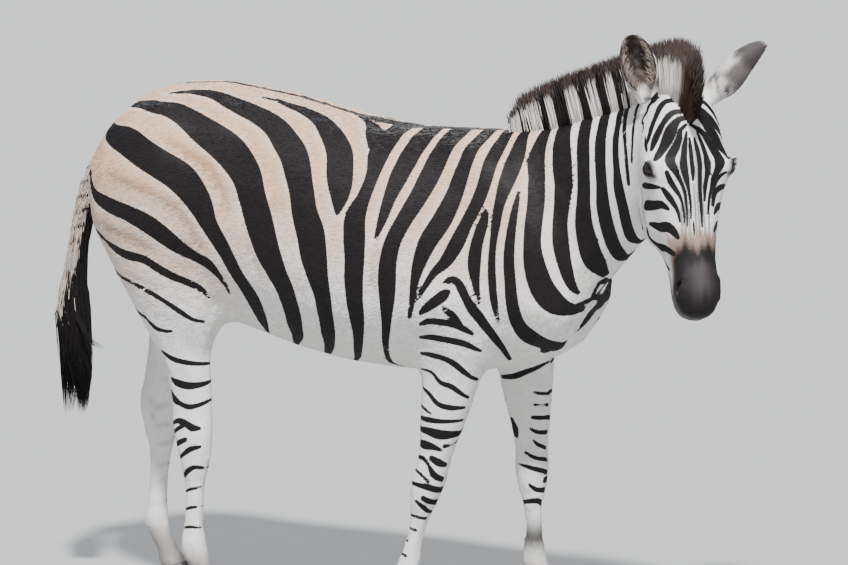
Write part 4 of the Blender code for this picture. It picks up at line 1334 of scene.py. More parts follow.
    def black(self, points: Array) -> Array:
        """How deep points lie in black ink, with the line along the back, and none of it on the ears."""
        deep = self.depth(Ink.BLACK, points)
        x, _, z = (points - LAYOUT_TO_MODEL).T
        aside = np.abs(points[:, 1] - LAYOUT_TO_MODEL[1])
        on_back = (z > 1.18) & (x > -0.60)
        width = np.interp(x, *zip(*BACK_LINE))
        line = np.where(on_back & (x < 0.45), width - aside, -self.reach)
        clear = np.where(on_back & (x < 0.06), 0.010 - np.abs(aside - 0.018), -1)
        deep = np.where(clear > 0, np.minimum(deep, -clear), deep)
        deep = np.maximum(deep, line)
        for ear in self.ears:
            local = ear.local(points)
            deep = np.where(ear.near(local) & (local[:, 1] > 0.03), -self.reach, deep)
        return deep

    def dress(self, mesh: bpy.types.Mesh, points: Array) -> None:
        """Stores the markings on a mesh, read at one point for each of its vertices."""
        set_values(mesh, "ink", self.black(points))
        set_colours(mesh, "tone", self.tone(points))


@dataclass(frozen=True)
class LegLine:
    """Where a leg's middle runs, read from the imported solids.

    Attributes:
        heights: rising heights.
        forward: the leg's forward place at each, in the layout frame.
    """

    heights: Array
    forward: Array

    @classmethod
    def of(cls, nodes: list[Piece]) -> "LegLine":
        """Reads the line from a leg's solids."""
        places = np.vstack([points_of(node) for node in nodes]) - LAYOUT_TO_MODEL
        heights = np.arange(0.06, 0.72, 0.03)
        forward = []
        for height in heights:
            ring = places[np.abs(places[:, 2] - height) < 0.04]
            forward.append((ring[:, 0].min() + ring[:, 0].max()) / 2 if len(ring) else np.nan)
        known = np.isfinite(forward)
        return cls(heights[known], np.array(forward)[known])

    def at(self, height: float) -> float:
        """The leg's forward place at a height."""
        return float(np.interp(height, self.heights, self.forward))

    def moved(self, rows: Rows, source: "LegLine", drift: float) -> Rows:
        """Rows of another leg laid on this one, a little higher or lower."""
        lift = drift * sin(rows[0][1] * 60)
        return tuple((x - source.at(z) + self.at(z), z + lift, half) for x, z, half in rows)


def fuller(rows: Rows) -> Rows:
    """Flank and neck rows made wider, most over the shoulder, and nowhere too thin to see."""
    times = np.interp([row[0] for row in rows], *zip(*FULLER))
    return tuple((u, v, max(half * float(t), 0.0042)) for (u, v, half), t in zip(rows, times))


def widened(rows: Rows, first: float, last: float, start: float, end: float) -> Rows:
    """Rows made wider: first times before start in the second column, easing to last times past end."""
    shares = ramp(np.array([row[1] for row in rows]), start, end) if start != end else np.zeros(len(rows))
    return tuple((u, v, half * (first + (last - first) * t)) for (u, v, half), t in zip(rows, shares))


def inner_ends(rows: Rows, leg: LegLine) -> Rows:
    """The front part of a leg stripe, as it runs on over the leg's inner side and fades."""
    z, half = rows[-1][1], rows[-1][2]
    middle = leg.at(z)
    front = rows[-1][0]
    return ((front, z, half), ((front + middle) / 2, z - 0.004, half * 0.9), (middle, z - 0.006, 0.001))


# ---------------------------------------------------------------------------
# Hair
# ---------------------------------------------------------------------------


@dataclass(frozen=True)
class HideChart:
    """An unwrap of the hide round its own middle lines, which places each tuft on a map.

    Attributes:
        legs: the legs' middle lines.
        ears: the two ears.
    """

    legs: dict[str, LegLine]
    ears: list[Ear]

    def of(self, points: Array) -> Array:
        """The map place of each point: the body in the lower half, then the legs, the head and the ears."""
        laid = points - LAYOUT_TO_MODEL
        spine = np.array(SPINE)
        side = laid[:, 1] - np.interp(laid[:, 0], spine[:, 0], spine[:, 1])
        above = laid[:, 2] - np.interp(laid[:, 0], (0.5, 0.95), (0.98, 1.20))
        turn = np.arctan2(side, above) / (2 * pi) + 0.5
        chart = np.column_stack([0.01 + 0.98 * (laid[:, 0] + 0.85) / 1.95, 0.01 + 0.47 * turn])
        for k, (name, leg) in enumerate(self.legs.items()):
            sign = 1 if name.endswith("left") else -1
            front = name.startswith("fore")
            chosen = (laid[:, 2] < 0.70) & (laid[:, 1] * sign > 0) & ((laid[:, 0] > 0.05) == front)
            ahead = laid[chosen, 0] - np.interp(laid[chosen, 2], leg.heights, leg.forward)
            around = np.arctan2(laid[chosen, 1] - sign * 0.13, ahead) / (2 * pi) + 0.5
            up = 0.48 * laid[chosen, 2] / 0.70
            chart[chosen] = np.column_stack([0.01 + 0.155 * (k + around), 0.51 + up])
        head = in_head(points)
        chosen = (head[:, 0] > -0.02) & (laid[:, 0] > 0.72) & (head[:, 2] > -0.27)
        around = np.arctan2(head[chosen, 1], head[chosen, 2] + 0.09) / (2 * pi) + 0.5
        share = np.clip(head[chosen, 0] / 0.56, 0, 1)
        chart[chosen] = np.column_stack([0.65 + 0.22 * around, 0.51 + 0.48 * share])
        for k, ear in enumerate(self.ears):
            local = ear.local(points)
            chosen = ear.near(local)
            around = np.arctan2(local[chosen, 0], -local[chosen, 2]) / (2 * pi) + 0.5
            share = np.clip(local[chosen, 1] / ear.length, 0, 1)
            chart[chosen] = np.column_stack([0.89 + 0.05 * (k + around), 0.51 + 0.48 * share])
        return np.clip(chart, 0.002, 0.998)


@dataclass
class Hair:
    """Many small closed solids in one mesh, each with its colours and its patch on the map.

    Attributes:
        name: the piece's name.
        slot: the name of its material slot; not used.
        material: what it is made of.
    """

    name: str
    slot: str
    material: bpy.types.Material

    def build(
        self,
        places: Array,
        corners: Array,
        ink: Array,
        tone: Array,
        chart: Array,
        normals: Array | None = None,
    ) -> Piece:
        """Makes the mesh.

        Args:
            places: solids by vertices by 3.
            corners: three vertex numbers for each triangle of one solid.
            ink: how deep each vertex lies in black.
            tone: each vertex's colour.
            chart: each vertex's place on the map.
            normals: each vertex's shading direction, where it isn't the mesh's own.

        Returns:
            The piece.
        """
        count, each = places.shape[:2]
        every = (corners[None] + np.arange(count)[:, None, None] * each).reshape(-1, 3)
        mesh = mesh_from(self.name, places.reshape(-1, 3), every)
        set_values(mesh, "ink", ink.ravel())
        set_colours(mesh, "tone", tone.reshape(-1, 3))
        layer = mesh.uv_layers.new(name="OFBake")
        layer.data.foreach_set("uv", chart.reshape(-1, 2)[every.ravel()].astype(np.float32).ravel())
        mesh.materials.append(self.material)
        piece = object_of(self.name, mesh)
        if normals is not None:
            mesh.normals_split_custom_set_from_vertices(normals.reshape(-1, 3))
        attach(piece, "root")
        LOG.info("%s: %d solids, %d triangles", self.name, count, len(every))
        return piece

    def grow(
        self, paths: Array, radius: Array, ink: Array, tone: Array, chart: Array
    ) -> Piece:
        """Makes long locks.

        Args:
            paths: locks by points along each by 3.
            radius: each lock's radius at every point but its tip.
            ink: how deep each point lies in black.
            tone: each point's colour.
            chart: each root's place on the map.

        Returns:
            The piece.
        """
        locks = Locks(paths.shape[1] - 1)
        inks, tones = locks.spread(ink), locks.spread(tone)
        return self.build(locks.places(paths, radius), locks.corners(), inks, tones, locks.patch(chart))


@dataclass(frozen=True)
class Locks:
    """Long locks: three-sided tubes that end in a point.

    Attributes:
        rings: how many cross-sections each has before its tip.
    """

    rings: int

    def corners(self) -> Array:
        """The triangles of one lock."""
        faces = [(0, 2, 1)]
        for ring in range(self.rings - 1):
            for k in range(3):
                a, b = ring * 3 + k, ring * 3 + (k + 1) % 3
                faces += [(a, b, b + 3), (a, b + 3, a + 3)]
        top, tip = (self.rings - 1) * 3, self.rings * 3
        faces += [(top + k, top + (k + 1) % 3, tip) for k in range(3)]
        return np.array(faces)

    def places(self, paths: Array, radius: Array) -> Array:
        """The vertices of locks along their paths.

        Args:
            paths: locks by rings + 1 by 3.
            radius: locks by rings.

        Returns:
            Locks by vertices by 3.
        """
        runs = unit(paths[:, -1] - paths[:, 0])
        helper = np.where(np.abs(runs[:, 2:3]) < 0.8, (0.0, 0.0, 1.0), (1.0, 0.0, 0.0))
        side = unit(np.cross(runs, helper))
        other = np.cross(runs, side)
        made = []
        for ring in range(self.rings):
            for k in range(3):
                turn = 2 * pi * k / 3
                made.append(paths[:, ring] + (side * cos(turn) + other * sin(turn)) * radius[:, ring, None])
        made.append(paths[:, -1])
        return np.stack(made, axis=1)

    def spread(self, values: Array) -> Array:
        """Repeats each ring's value over its three vertices, and the last one at the tip."""
        return np.concatenate([np.repeat(values[:, :-1], 3, axis=1), values[:, -1:]], axis=1)

    def patch(self, roots: Array) -> Array:
        """A patch about 0.003 across round each root's place on the map."""
        along = np.linspace(-0.0015, 0.0015, self.rings + 1)
        across = np.array([-0.0012, 0.0, 0.0012])
        offsets = [(across[k], along[ring]) for ring in range(self.rings) for k in range(3)]
        return roots[:, None] + np.array([*offsets, (0.0, along[-1])])[None]


TUFT_CORNERS = np.array([(0, 1, 3), (0, 3, 2), (1, 4, 3), (3, 4, 2), (0, 2, 1), (1, 2, 4)])
TUFT_PATCH = np.array([(0.0, -0.0015), (-0.0015, 0.0), (0.0015, 0.0), (0.0, 0.0), (0.0, 0.0015)])


@dataclass
class Coat:
    """The short coat: thin leaf-shaped tufts that overlap and lie along the hide.

    Attributes:
        skin: what it grows on.
        markings: its colours.
        chart: the map of its roots.
        cover: how much of the hide the tufts cover.
        most: how many triangles one piece may hold.
        sunk: how deep the tufts' roots sit in the hide.
        seed: starts its random draws.
    """

    skin: Skin
    markings: Markings
    chart: HideChart
    cover: float = 0.80
    most: int = 190_000
    sunk: float = 0.0006
    seed: int = 5

    def lie(self, points: Array) -> Array:
        """Which way the coat lies: back and down the body, down the legs, down the face, up the ears."""
        x, _, z = (points - LAYOUT_TO_MODEL).T
        head = in_head(points)
        way = mix((-1.0, 0.0, -0.32), (-0.62, 0.30, -0.85), ramp(x, 0.50, 0.68))
        way = mix(way, (-0.15, 0.0, -1.0), ramp(x, 0.52, 0.64) * ramp(z, 1.02, 0.90))
        way = mix(way, (-0.12, 0.0, -1.0), ramp(z, 0.76, 0.60))
        way = mix(way, (-0.25, 0.0, -1.0), ramp(x, -0.50, -0.60) * ramp(z, 1.24, 1.15))
        down_face = HEAD_AXES[:, 0] + HEAD_AXES[:, 1] * (head[:, 1:2] * 4.0)
        way = mix(way, down_face, ramp(head[:, 0], -0.02, 0.06) * (x > 0.72))
        for ear in self.markings.ears:
            way = mix(way, ear.axes()[:, 1], ear.near(ear.local(points)))
        return way

    def sizes(self, points: Array) -> tuple[Array, Array]:
        """The tufts' length and width: smallest on the face and the feet."""
        laid, head = points - LAYOUT_TO_MODEL, in_head(points)
        length = np.full(len(points), 0.0185)
        length -= 0.0085 * ramp(laid[:, 2], 0.80, 0.62) + 0.0020 * ramp(laid[:, 2], 0.45, 0.20)
        face = ramp(head[:, 0], -0.03, 0.10) * (laid[:, 0] > 0.72)
        length += (0.0085 - length) * face
        length += (0.0046 - length) * ramp(head[:, 0], 0.32, 0.42) * face
        for ear in self.markings.ears:
            length[ear.near(ear.local(points))] = 0.010
        return length, length * (0.20 + 0.04 * face)

    def roots(self) -> tuple[Array, Array]:
        """Places and normals of the tufts' roots, denser where the tufts are smaller."""
        mesh = self.skin.obj.data
        mesh.calc_loop_triangles()
        corners = np.empty(len(mesh.loop_triangles) * 3, np.int32)
        mesh.loop_triangles.foreach_get("vertices", corners)
        corners = corners.reshape(-1, 3)
        places, normals = points_of(self.skin.obj), normals_of(self.skin.obj)
        a, b, c = (places[corners[:, k]] for k in range(3))
        area = np.linalg.norm(np.cross(b - a, c - a), axis=1) / 2
        middle = (a + b + c) / 3
        length, width = self.sizes(middle)
        wanted = self.cover * area / (0.5 * length * width) * self.allowed(middle)
        rng = np.random.default_rng(self.seed)
        number = rng.poisson(wanted)
        face = np.repeat(np.arange(len(corners)), number)
        u, v = rng.random(len(face)), rng.random(len(face))
        over = u + v > 1
        u[over], v[over] = 1 - u[over], 1 - v[over]
        w = 1 - u - v
        weights = np.column_stack([w, u, v])[:, :, None]
        roots = (places[corners[face]] * weights).sum(1)
        return roots, unit((normals[corners[face]] * weights).sum(1))

    def allowed(self, points: Array) -> Array:
        """How thickly the coat may grow: not on lids or lips, nor in the nostrils or the ears."""
        bare = ramp(self.markings.mouth_depth(points), -0.006, -0.003)
        for feature in self.markings.features:
            bare = np.maximum(bare, ramp(feature.darkness(points), 0.05, 0.5))
        for ear in self.markings.ears:
            local = ear.local(points)
            bare = np.maximum(bare, ear.near(local) * (ear.inside(local) > 0.0))
        laid = points - LAYOUT_TO_MODEL
        return (1 - bare) * (laid[:, 2] > 0.045)

    def settled(self, points: Array) -> tuple[Array, Array]:
        """The hide's nearest places to points, and its directions there."""
        found = [self.skin.tree.find_nearest(Vector(point)) for point in points]
        return np.array([hit[0] for hit in found]), np.array([hit[1] for hit in found])

    def tufts(
        self, rng: np.random.Generator, roots: Array, normals: Array
    ) -> tuple[Array, Array, Array, Array]:
        """The tufts' shapes.

        Args:
            rng: the random draws.
            roots: where the tufts stand.
            normals: the hide's directions there.

        Returns:
            Each tuft's five vertices, their shading directions, and the hide under its middle and its tip.
        """
        count = len(roots)
        length, width = self.sizes(roots)
        way = self.lie(roots)
        way = unit(way - (way * normals).sum(1)[:, None] * normals)
        side = np.cross(normals, way)
        way = unit(way + side * rng.normal(0, 0.13, count)[:, None])
        side = np.cross(normals, way)
        length = length * rng.uniform(0.75, 1.2, count)
        width = width * rng.uniform(0.8, 1.15, count)
        middle, up = self.settled(roots + way * (0.48 * length)[:, None])
        tip, tip_up = self.settled(roots + way * length[:, None])
        thick = 0.035 * length * rng.uniform(0.7, 1.3, count)
        lift = length * np.abs(rng.normal(0.060, 0.022, count))
        half = side * width[:, None] / 2
        low = middle + up * (0.25 * lift)[:, None]
        ridge = middle + up * (0.55 * lift + thick)[:, None]
        raised = tip + tip_up * lift[:, None]
        places = np.stack([roots - normals * self.sunk, low - half, low + half, ridge, raised], axis=1)
        turned = 0.30 * side * rng.uniform(0.5, 1.2, count)[:, None]
        shading = np.stack([normals, up - turned, up + turned, up, tip_up + 0.12 * way], axis=1)
        return places, shading / np.linalg.norm(shading, axis=2, keepdims=True), middle, tip

    def build(self, material: bpy.types.Material) -> list[Piece]:
        """Grows the coat, in pieces from the tail to the nose."""
        rng = np.random.default_rng(self.seed + 1)
        roots, normals = self.roots()
        places, shading, middle, tip = self.tufts(rng, roots, normals)
        at_root, at_middle, at_tip = (self.markings.black(spots) for spots in (roots, middle, tip))
        ink = np.stack([at_root, at_middle, at_middle, at_middle, at_tip], axis=1)
        tone = self.markings.tone(roots) * rng.normal(1.0, 0.055, len(roots))[:, None]
        tone = np.repeat(np.clip(tone, 0, 0.9)[:, None], len(TUFT_PATCH), axis=1)
        tone[:, 0] *= 0.86
        chart = self.chart.of(roots)[:, None] + TUFT_PATCH[None]
        parts = int(np.ceil(len(roots) * len(TUFT_CORNERS) / self.most))
        pieces = []
        for number, chosen in enumerate(np.array_split(np.argsort(roots[:, 0]), parts), 1):
            hair = Hair(f"coat_{number}", "coat", material)
            solids, inks, tones = places[chosen], ink[chosen], tone[chosen]
            pieces.append(hair.build(solids, TUFT_CORNERS, inks, tones, chart[chosen], shading[chosen]))
        return pieces


# The mane's line, as forward, sideways, height, its pitch and yaw in degrees, and the hair's length.
MANE = (
    (0.475, -0.003, 1.243, 9.0, -6.0, 0.055),
    (0.510, -0.004, 1.248, 12.0, -8.0, 0.100),
    (0.575, -0.006, 1.262, 16.0, -12.0, 0.120),
    (0.690, -0.024, 1.298, 20.0, -20.0, 0.129),
    (0.810, -0.066, 1.340, 20.0, -30.0, 0.134),
    (0.910, -0.122, 1.374, 13.0, -38.0, 0.137),
    (0.970, -0.160, 1.386, 2.0, -45.0, 0.147),
    (1.010, -0.190, 1.382, -14.0, -49.0, 0.154),
    (1.028, -0.210, 1.370, -36.0, -49.0, 0.124),
    (1.036, -0.219, 1.354, -52.0, -49.0, 0.080),
    (1.039, -0.224, 1.342, -62.0, -49.0, 0.036),
)


@dataclass(frozen=True)
class Crest:
    """Where the mane's locks stand, one row for each.

    Attributes:
        place: how far it stands along the crest.
        end: how long the crest is.
        middle: the crest's middle there.
        hair: how long the hair is there.
        ahead: which way the crest runs.
        left: towards the animal's left.
        up: which way the hair stands.
        across: how far off the middle it stands, from -1 to 1.
    """

    place: Array
    end: float
    middle: Array
    hair: Array
    ahead: Array
    left: Array
    up: Array
    across: Array

    @classmethod
    def drawn(cls, rng: np.random.Generator, count: int) -> "Crest":
        """Draws where each lock stands."""
        rows = np.array(MANE)
        steps = np.concatenate([[0], np.cumsum(np.linalg.norm(np.diff(rows[:, :3], axis=0), axis=1))])
        end = steps[-1]
        place = np.sqrt(rng.random(count) * 0.96 + 0.04) * end
        place = np.where(rng.random(count) < 0.6, rng.random(count) * end, place)
        drawn = np.column_stack([np.interp(place, steps, rows[:, k]) for k in range(6)])
        pitch, yaw = np.radians(drawn[:, 3]), np.radians(drawn[:, 4])
        ahead = np.column_stack([np.cos(pitch) * np.cos(yaw), np.cos(pitch) * np.sin(yaw), np.sin(pitch)])
        left = np.column_stack([-np.sin(yaw), np.cos(yaw), np.zeros(count)])
        across = np.clip(rng.normal(0, 0.55, count), -1, 1)
        middle = drawn[:, :3] + LAYOUT_TO_MODEL
        return cls(place, end, middle, drawn[:, 5], ahead, left, np.cross(ahead, left), across)


@dataclass(frozen=True)
class Mane:
    """The upright mane, striped like the neck, with brown tips and a dark forelock.

    Attributes:
        markings: the neck's colours.
        chart: the map of its roots.
        count: how many locks it has.
        half_width: half its width at the crest.
        sunk: how deep the locks' roots sit under the crest.
        thickness: a lock's radius.
        shares: how far along a lock its points lie.
        tipped: how brown a lock is at each of them.
        seed: starts its random draws.
    """

    markings: Markings
    chart: HideChart
    count: int = 8600
    half_width: float = 0.024
    sunk: float = 0.030
    thickness: float = 0.0017
    shares: Row = (0.0, 0.40, 0.72, 0.82, 1.0)
    tipped: Row = (0.0, 0.0, 0.04, 0.94, 1.0)
    seed: int = 11

    def paths(self, rng: np.random.Generator, crest: Crest) -> Array:
        """The locks, upright and a little splayed."""
        across, left = crest.across, crest.left
        width = self.half_width * (1 - 0.72 * ramp(crest.place, crest.end - 0.075, crest.end))
        start = crest.middle + left * (across * width)[:, None] - crest.up * self.sunk
        height = (crest.hair + self.sunk) * (1 - 0.10 * across**2) * rng.uniform(0.86, 1.0, self.count)
        lean = rng.normal(0, 0.035, self.count)[:, None] * crest.ahead - left * (0.07 * across)[:, None]
        way = unit(crest.up + lean + left * rng.normal(0, 0.035, self.count)[:, None])
        bend = left * (across * 0.05)[:, None] + crest.ahead * rng.normal(0, 0.04, self.count)[:, None]
        return np.stack([start + (way + bend * t) * (height * t)[:, None] for t in self.shares], axis=1)

    def colours(self, rng: np.random.Generator, crest: Crest, beside: Array) -> tuple[Array, Array]:
        """Each point's ink, read from the neck beside its lock, and its tone."""
        ink = self.markings.depth(Ink.BLACK, beside) - 0.004 + rng.normal(0, 0.0015, self.count)
        forelock = ramp(crest.place, crest.end - 0.085, crest.end - 0.050)
        ink = ink * (1 - forelock) - 0.02 * forelock
        brown = np.array(PALETTE.mane_brown) * rng.uniform(0.6, 1.6, self.count)[:, None]
        pale = np.array(PALETTE.mane_pale) * rng.normal(1, 0.06, self.count)[:, None]
        tipped = np.maximum(np.array(self.tipped), forelock[:, None])
        edge = ramp(np.abs(crest.across), 0.55, 0.95) * forelock
        brown = mix(brown * (1 - 0.5 * forelock)[:, None], brown * 1.7, edge)
        tone = pale[:, None] * (1 - tipped[:, :, None]) + brown[:, None] * tipped[:, :, None]
        at_tip = np.array((0.0, 0.0, 0.0, 0.0, 1.0))
        return ink[:, None] - 0.012 * tipped * (ink < 0)[:, None] - 0.02 * at_tip, tone

    def build(self, material: bpy.types.Material) -> Piece:
        """Grows the mane from the withers to the forelock."""
        rng = np.random.default_rng(self.seed)
        crest = Crest.drawn(rng, self.count)
        paths = self.paths(rng, crest)
        radius = self.thickness * rng.uniform(0.75, 1.2, self.count)[:, None]
        radius = radius * np.array((1.0, 1.15, 1.0, 0.6))
        beside = crest.middle + crest.left * (np.sign(crest.across) * 0.028)[:, None] - crest.up * 0.012
        ink, tone = self.colours(rng, crest, beside)
        return Hair("mane_hair", "long_hair", material).grow(paths, radius, ink, tone, self.chart.of(beside))


# The tail's outline in hair, as forward, height and radius.
TAIL = (
    (-0.560, 1.195, 0.034),
    (-0.610, 1.160, 0.035),
    (-0.652, 1.108, 0.035),
    (-0.688, 1.040, 0.032),
    (-0.714, 0.960, 0.028),
    (-0.733, 0.870, 0.026),
    (-0.744, 0.780, 0.033),
    (-0.747, 0.700, 0.042),
    (-0.743, 0.620, 0.040),
    (-0.740, 0.550, 0.040),
    (-0.742, 0.490, 0.036),
    (-0.745, 0.410, 0.026),
)

# The lock that curls forward from the tail.
STRAY_LOCK = (
    (-0.735, -0.020, 0.740),
    (-0.715, -0.035, 0.700),
    (-0.690, -0.045, 0.665),
    (-0.660, -0.050, 0.640),
    (-0.630, -0.050, 0.628),
)


@dataclass(frozen=True)
class Tail:
    """The tail's hair: short and pale with dark bars on the dock, then long and black.

    Attributes:
        chart: the map of its roots.
        short: how many locks cover the dock.
        long: how many locks make the tuft.
        strands: how many points the tuft draws out into.
        stray: how many hairs curl forward in one lock.
        seed: starts its random draws.
    """

    chart: HideChart
    short: int = 3200
    long: int = 2900
    strands: int = 9
    stray: int = 14
    seed: int = 23

    def drawn(self, rng: np.random.Generator) -> tuple[Array, Array, Array, Array]:
        """Draws the locks of the dock, then those of the tuft.

        Args:
            rng: the random draws.

        Returns:
            The height of each lock's root and of its tip, its share of the outline's radius, and the
            angle that it draws towards, which is not a number on the dock.
        """
        top = np.concatenate([rng.uniform(0.86, 1.175, self.short), rng.uniform(0.835, 0.955, self.long)])
        length = np.interp(top, (0.86, 0.95, 1.02, 1.18), (0.16, 0.13, 0.06, 0.040))
        length = length * rng.uniform(0.8, 1.2, len(top))
        strand = rng.integers(0, self.strands, self.long)
        drop = rng.uniform(0, 0.10, self.strands)[strand]
        ragged = 0.42 + drop + np.abs(rng.normal(0, 0.075, self.long))
        aim = np.full(len(top), np.nan)
        aim[self.short :] = rng.uniform(0, 2 * pi, self.strands)[strand]
        end = top - length
        end[self.short :] = ragged
        spread = np.sqrt(rng.uniform(0.05, 1.0, self.long))
        spread = spread * np.where(rng.random(self.long) < 0.10, 1.13, 1.0)
        share = np.concatenate([rng.uniform(0.80, 1.0, self.short), spread])
        return top, end, share, aim

    def paths(
        self, rng: np.random.Generator, top: Array, end: Array, share: Array, aim: Array
    ) -> Array:
        """Locks from heights top to end, at their shares of the radius, turning to aim where it is known."""
        outline, dock = np.array(TAIL)[::-1], np.array(DOCK)[::-1]
        turn = rng.uniform(0, 2 * pi, len(top))
        sway = rng.normal(0, 0.5, len(top))
        pull = np.where(np.isfinite(aim), (aim - turn + pi) % (2 * pi) - pi, 0.0)
        made = []
        for t in (0.0, 0.22, 0.5, 0.78, 1.0):
            z = top + (end - top) * t
            middle = np.interp(z, outline[:, 1], outline[:, 0])
            skin = np.interp(z, dock[:, 1], dock[:, 2]) * 0.85
            reach = np.interp(z, outline[:, 1], outline[:, 2]) * share
            blend = min(1.0, t * 2.2)
            radius = skin * (1 - blend) + reach * blend
            angle = turn + sway * t * 0.6 + np.nan_to_num(pull) * 0.8 * t**2
            made.append(np.column_stack([middle + radius * np.cos(angle), radius * np.sin(angle), z]))
        return np.stack(made, axis=1) + LAYOUT_TO_MODEL

    def colours(self, rng: np.random.Generator, paths: Array, top: Array) -> tuple[Array, Array]:
        """Each point's ink and tone: a barred dock with a black front, and a black tuft with a cream back."""
        laid = paths - LAYOUT_TO_MODEL
        outline = np.array(TAIL)[::-1]
        middle = np.interp(laid[..., 2], outline[:, 1], outline[:, 0])
        front = (laid[..., 0] - middle) / np.interp(laid[..., 2], outline[:, 1], outline[:, 2])
        height = laid[..., 2]
        noise = rng.normal(0, 1, len(paths))[:, None]
        bars = np.sin((height - 0.35 * (laid[..., 0] - middle)) * 2 * pi / 0.040)
        barred = 0.0070 * bars - 0.0040 + 0.002 * front - 0.006 * ramp(height, 0.885, 0.855)
        barred = np.where(front > 0.60, 0.004 + 0.004 * front, barred) - 0.03 * ramp(height, 1.10, 1.16)
        turned = ramp(top, 1.00, 0.90)[:, None] * np.ones_like(height)
        cream, grey = np.array(PALETTE.tail_cream), np.array(PALETTE.tail_grey)
        tone = cream * (1 - 0.55 * turned[..., None]) + grey * (0.55 * turned[..., None])
        tone = tone * (1 + 0.10 * noise[..., None])
        above, behind = ramp(height + 0.02 * noise, 0.77, 0.86), ramp(front, 0.75, 0.25)
        black = 0.012 + 0.0042 * noise - 0.030 * above * behind
        edge = ramp(-front + 0.30 * noise, 0.0, 0.7)
        black = black - 0.03 * edge * ramp(height + 0.035 * noise, 0.65, 0.80)
        ink = np.where(height < 0.87, black, barred)
        return ink, np.clip(tone, 0.02, 0.85)

    def build(self, material: bpy.types.Material) -> Piece:
        """Grows the tail's hair and one stray lock that curls forward."""
        rng = np.random.default_rng(self.seed)
        top, end, share, aim = self.drawn(rng)
        paths = self.paths(rng, top, end, share, aim)
        spread = rng.normal(0, 0.003, (self.stray, 1, 3)) * np.linspace(1, 0.8, 5)[None, :, None]
        paths = np.concatenate([paths, (np.array(STRAY_LOCK) + LAYOUT_TO_MODEL)[None] + spread])
        top = np.concatenate([top, np.full(self.stray, 0.85)])
        thick = np.repeat((0.0012, 0.0014, 0.0009), (self.short, self.long, self.stray))
        radius = thick[:, None] * rng.uniform(0.7, 1.25, len(top))[:, None] * np.array((0.8, 1.1, 1.0, 0.65))
        ink, tone = self.colours(rng, paths, top)
        hair = Hair("tail_hair", "long_hair", material)
        return hair.grow(paths, radius, ink, tone, self.chart.of(paths[:, 0]))


@dataclass(frozen=True)
class EarHair:
    """Ragged hair that grows inward from an ear's rim and up its hollow.

    Attributes:
        ear: what it grows in.
        chart: the map of its roots.
        count: how many locks it has.
        shares: how far along a lock its points lie.
        seed: starts its random draws.
    """

    ear: Ear
    chart: HideChart
    count: int = 700
    shares: Row = (0, 0.35, 0.7, 1.0)
    seed: int = 31

    def paths(self, rng: np.random.Generator) -> Array:
        """Locks on the inner wall, leaning inward and to the tip."""
        along = rng.uniform(0.16, 0.90, self.count) * self.ear.length
        radius, centre, wrap = self.ear.section(along)
        radius = radius - self.ear.wall * 0.8
        edge = np.sign(rng.uniform(-1, 1, self.count))
        turn = wrap * (edge * (1 - np.abs(rng.normal(0, 0.28, self.count)).clip(0, 1)))
        side, up, out = self.ear.axes().T
        start = head_point(*self.ear.root) + np.outer(along, up) + np.outer(radius * np.sin(turn), side)
        start += np.outer(centre - radius * np.cos(turn), out)
        inward = -np.outer(np.sin(turn), side) + np.outer(np.cos(turn), out)
        way = 0.75 * inward + np.outer(rng.uniform(0.6, 1.3, self.count), up) + 0.25 * out
        way = unit(way + rng.normal(0, 0.18, (self.count, 3)))
        shorter = np.interp(along / self.ear.length, (0.1, 0.5, 0.95), (1.1, 1.0, 0.5))
        length = rng.uniform(0.016, 0.032, self.count) * shorter
        curl = [np.outer(length * t * t * 0.25, up) for t in self.shares]
        return np.stack([start + way * (length * t)[:, None] + c for t, c in zip(self.shares, curl)], axis=1)

    def build(self, material: bpy.types.Material) -> Piece:
        """Grows the hair."""
        rng = np.random.default_rng(self.seed + self.ear.side)
        paths = self.paths(rng)
        radius = rng.uniform(0.0005, 0.0010, self.count)[:, None] * np.array((1.0, 0.9, 0.6))
        tone = np.array(PALETTE.ear_hair) * rng.uniform(0.35, 1.9, self.count)[:, None]
        tones = np.repeat(tone[:, None], len(self.shares), axis=1)
        ink = np.full(paths.shape[:2], NO_INK)
        side = "left" if self.ear.side > 0 else "right"
        hair = Hair(f"ear_hair_{side}", "coat", material)
        return hair.grow(paths, radius, ink, tones, self.chart.of(paths[:, 0]))


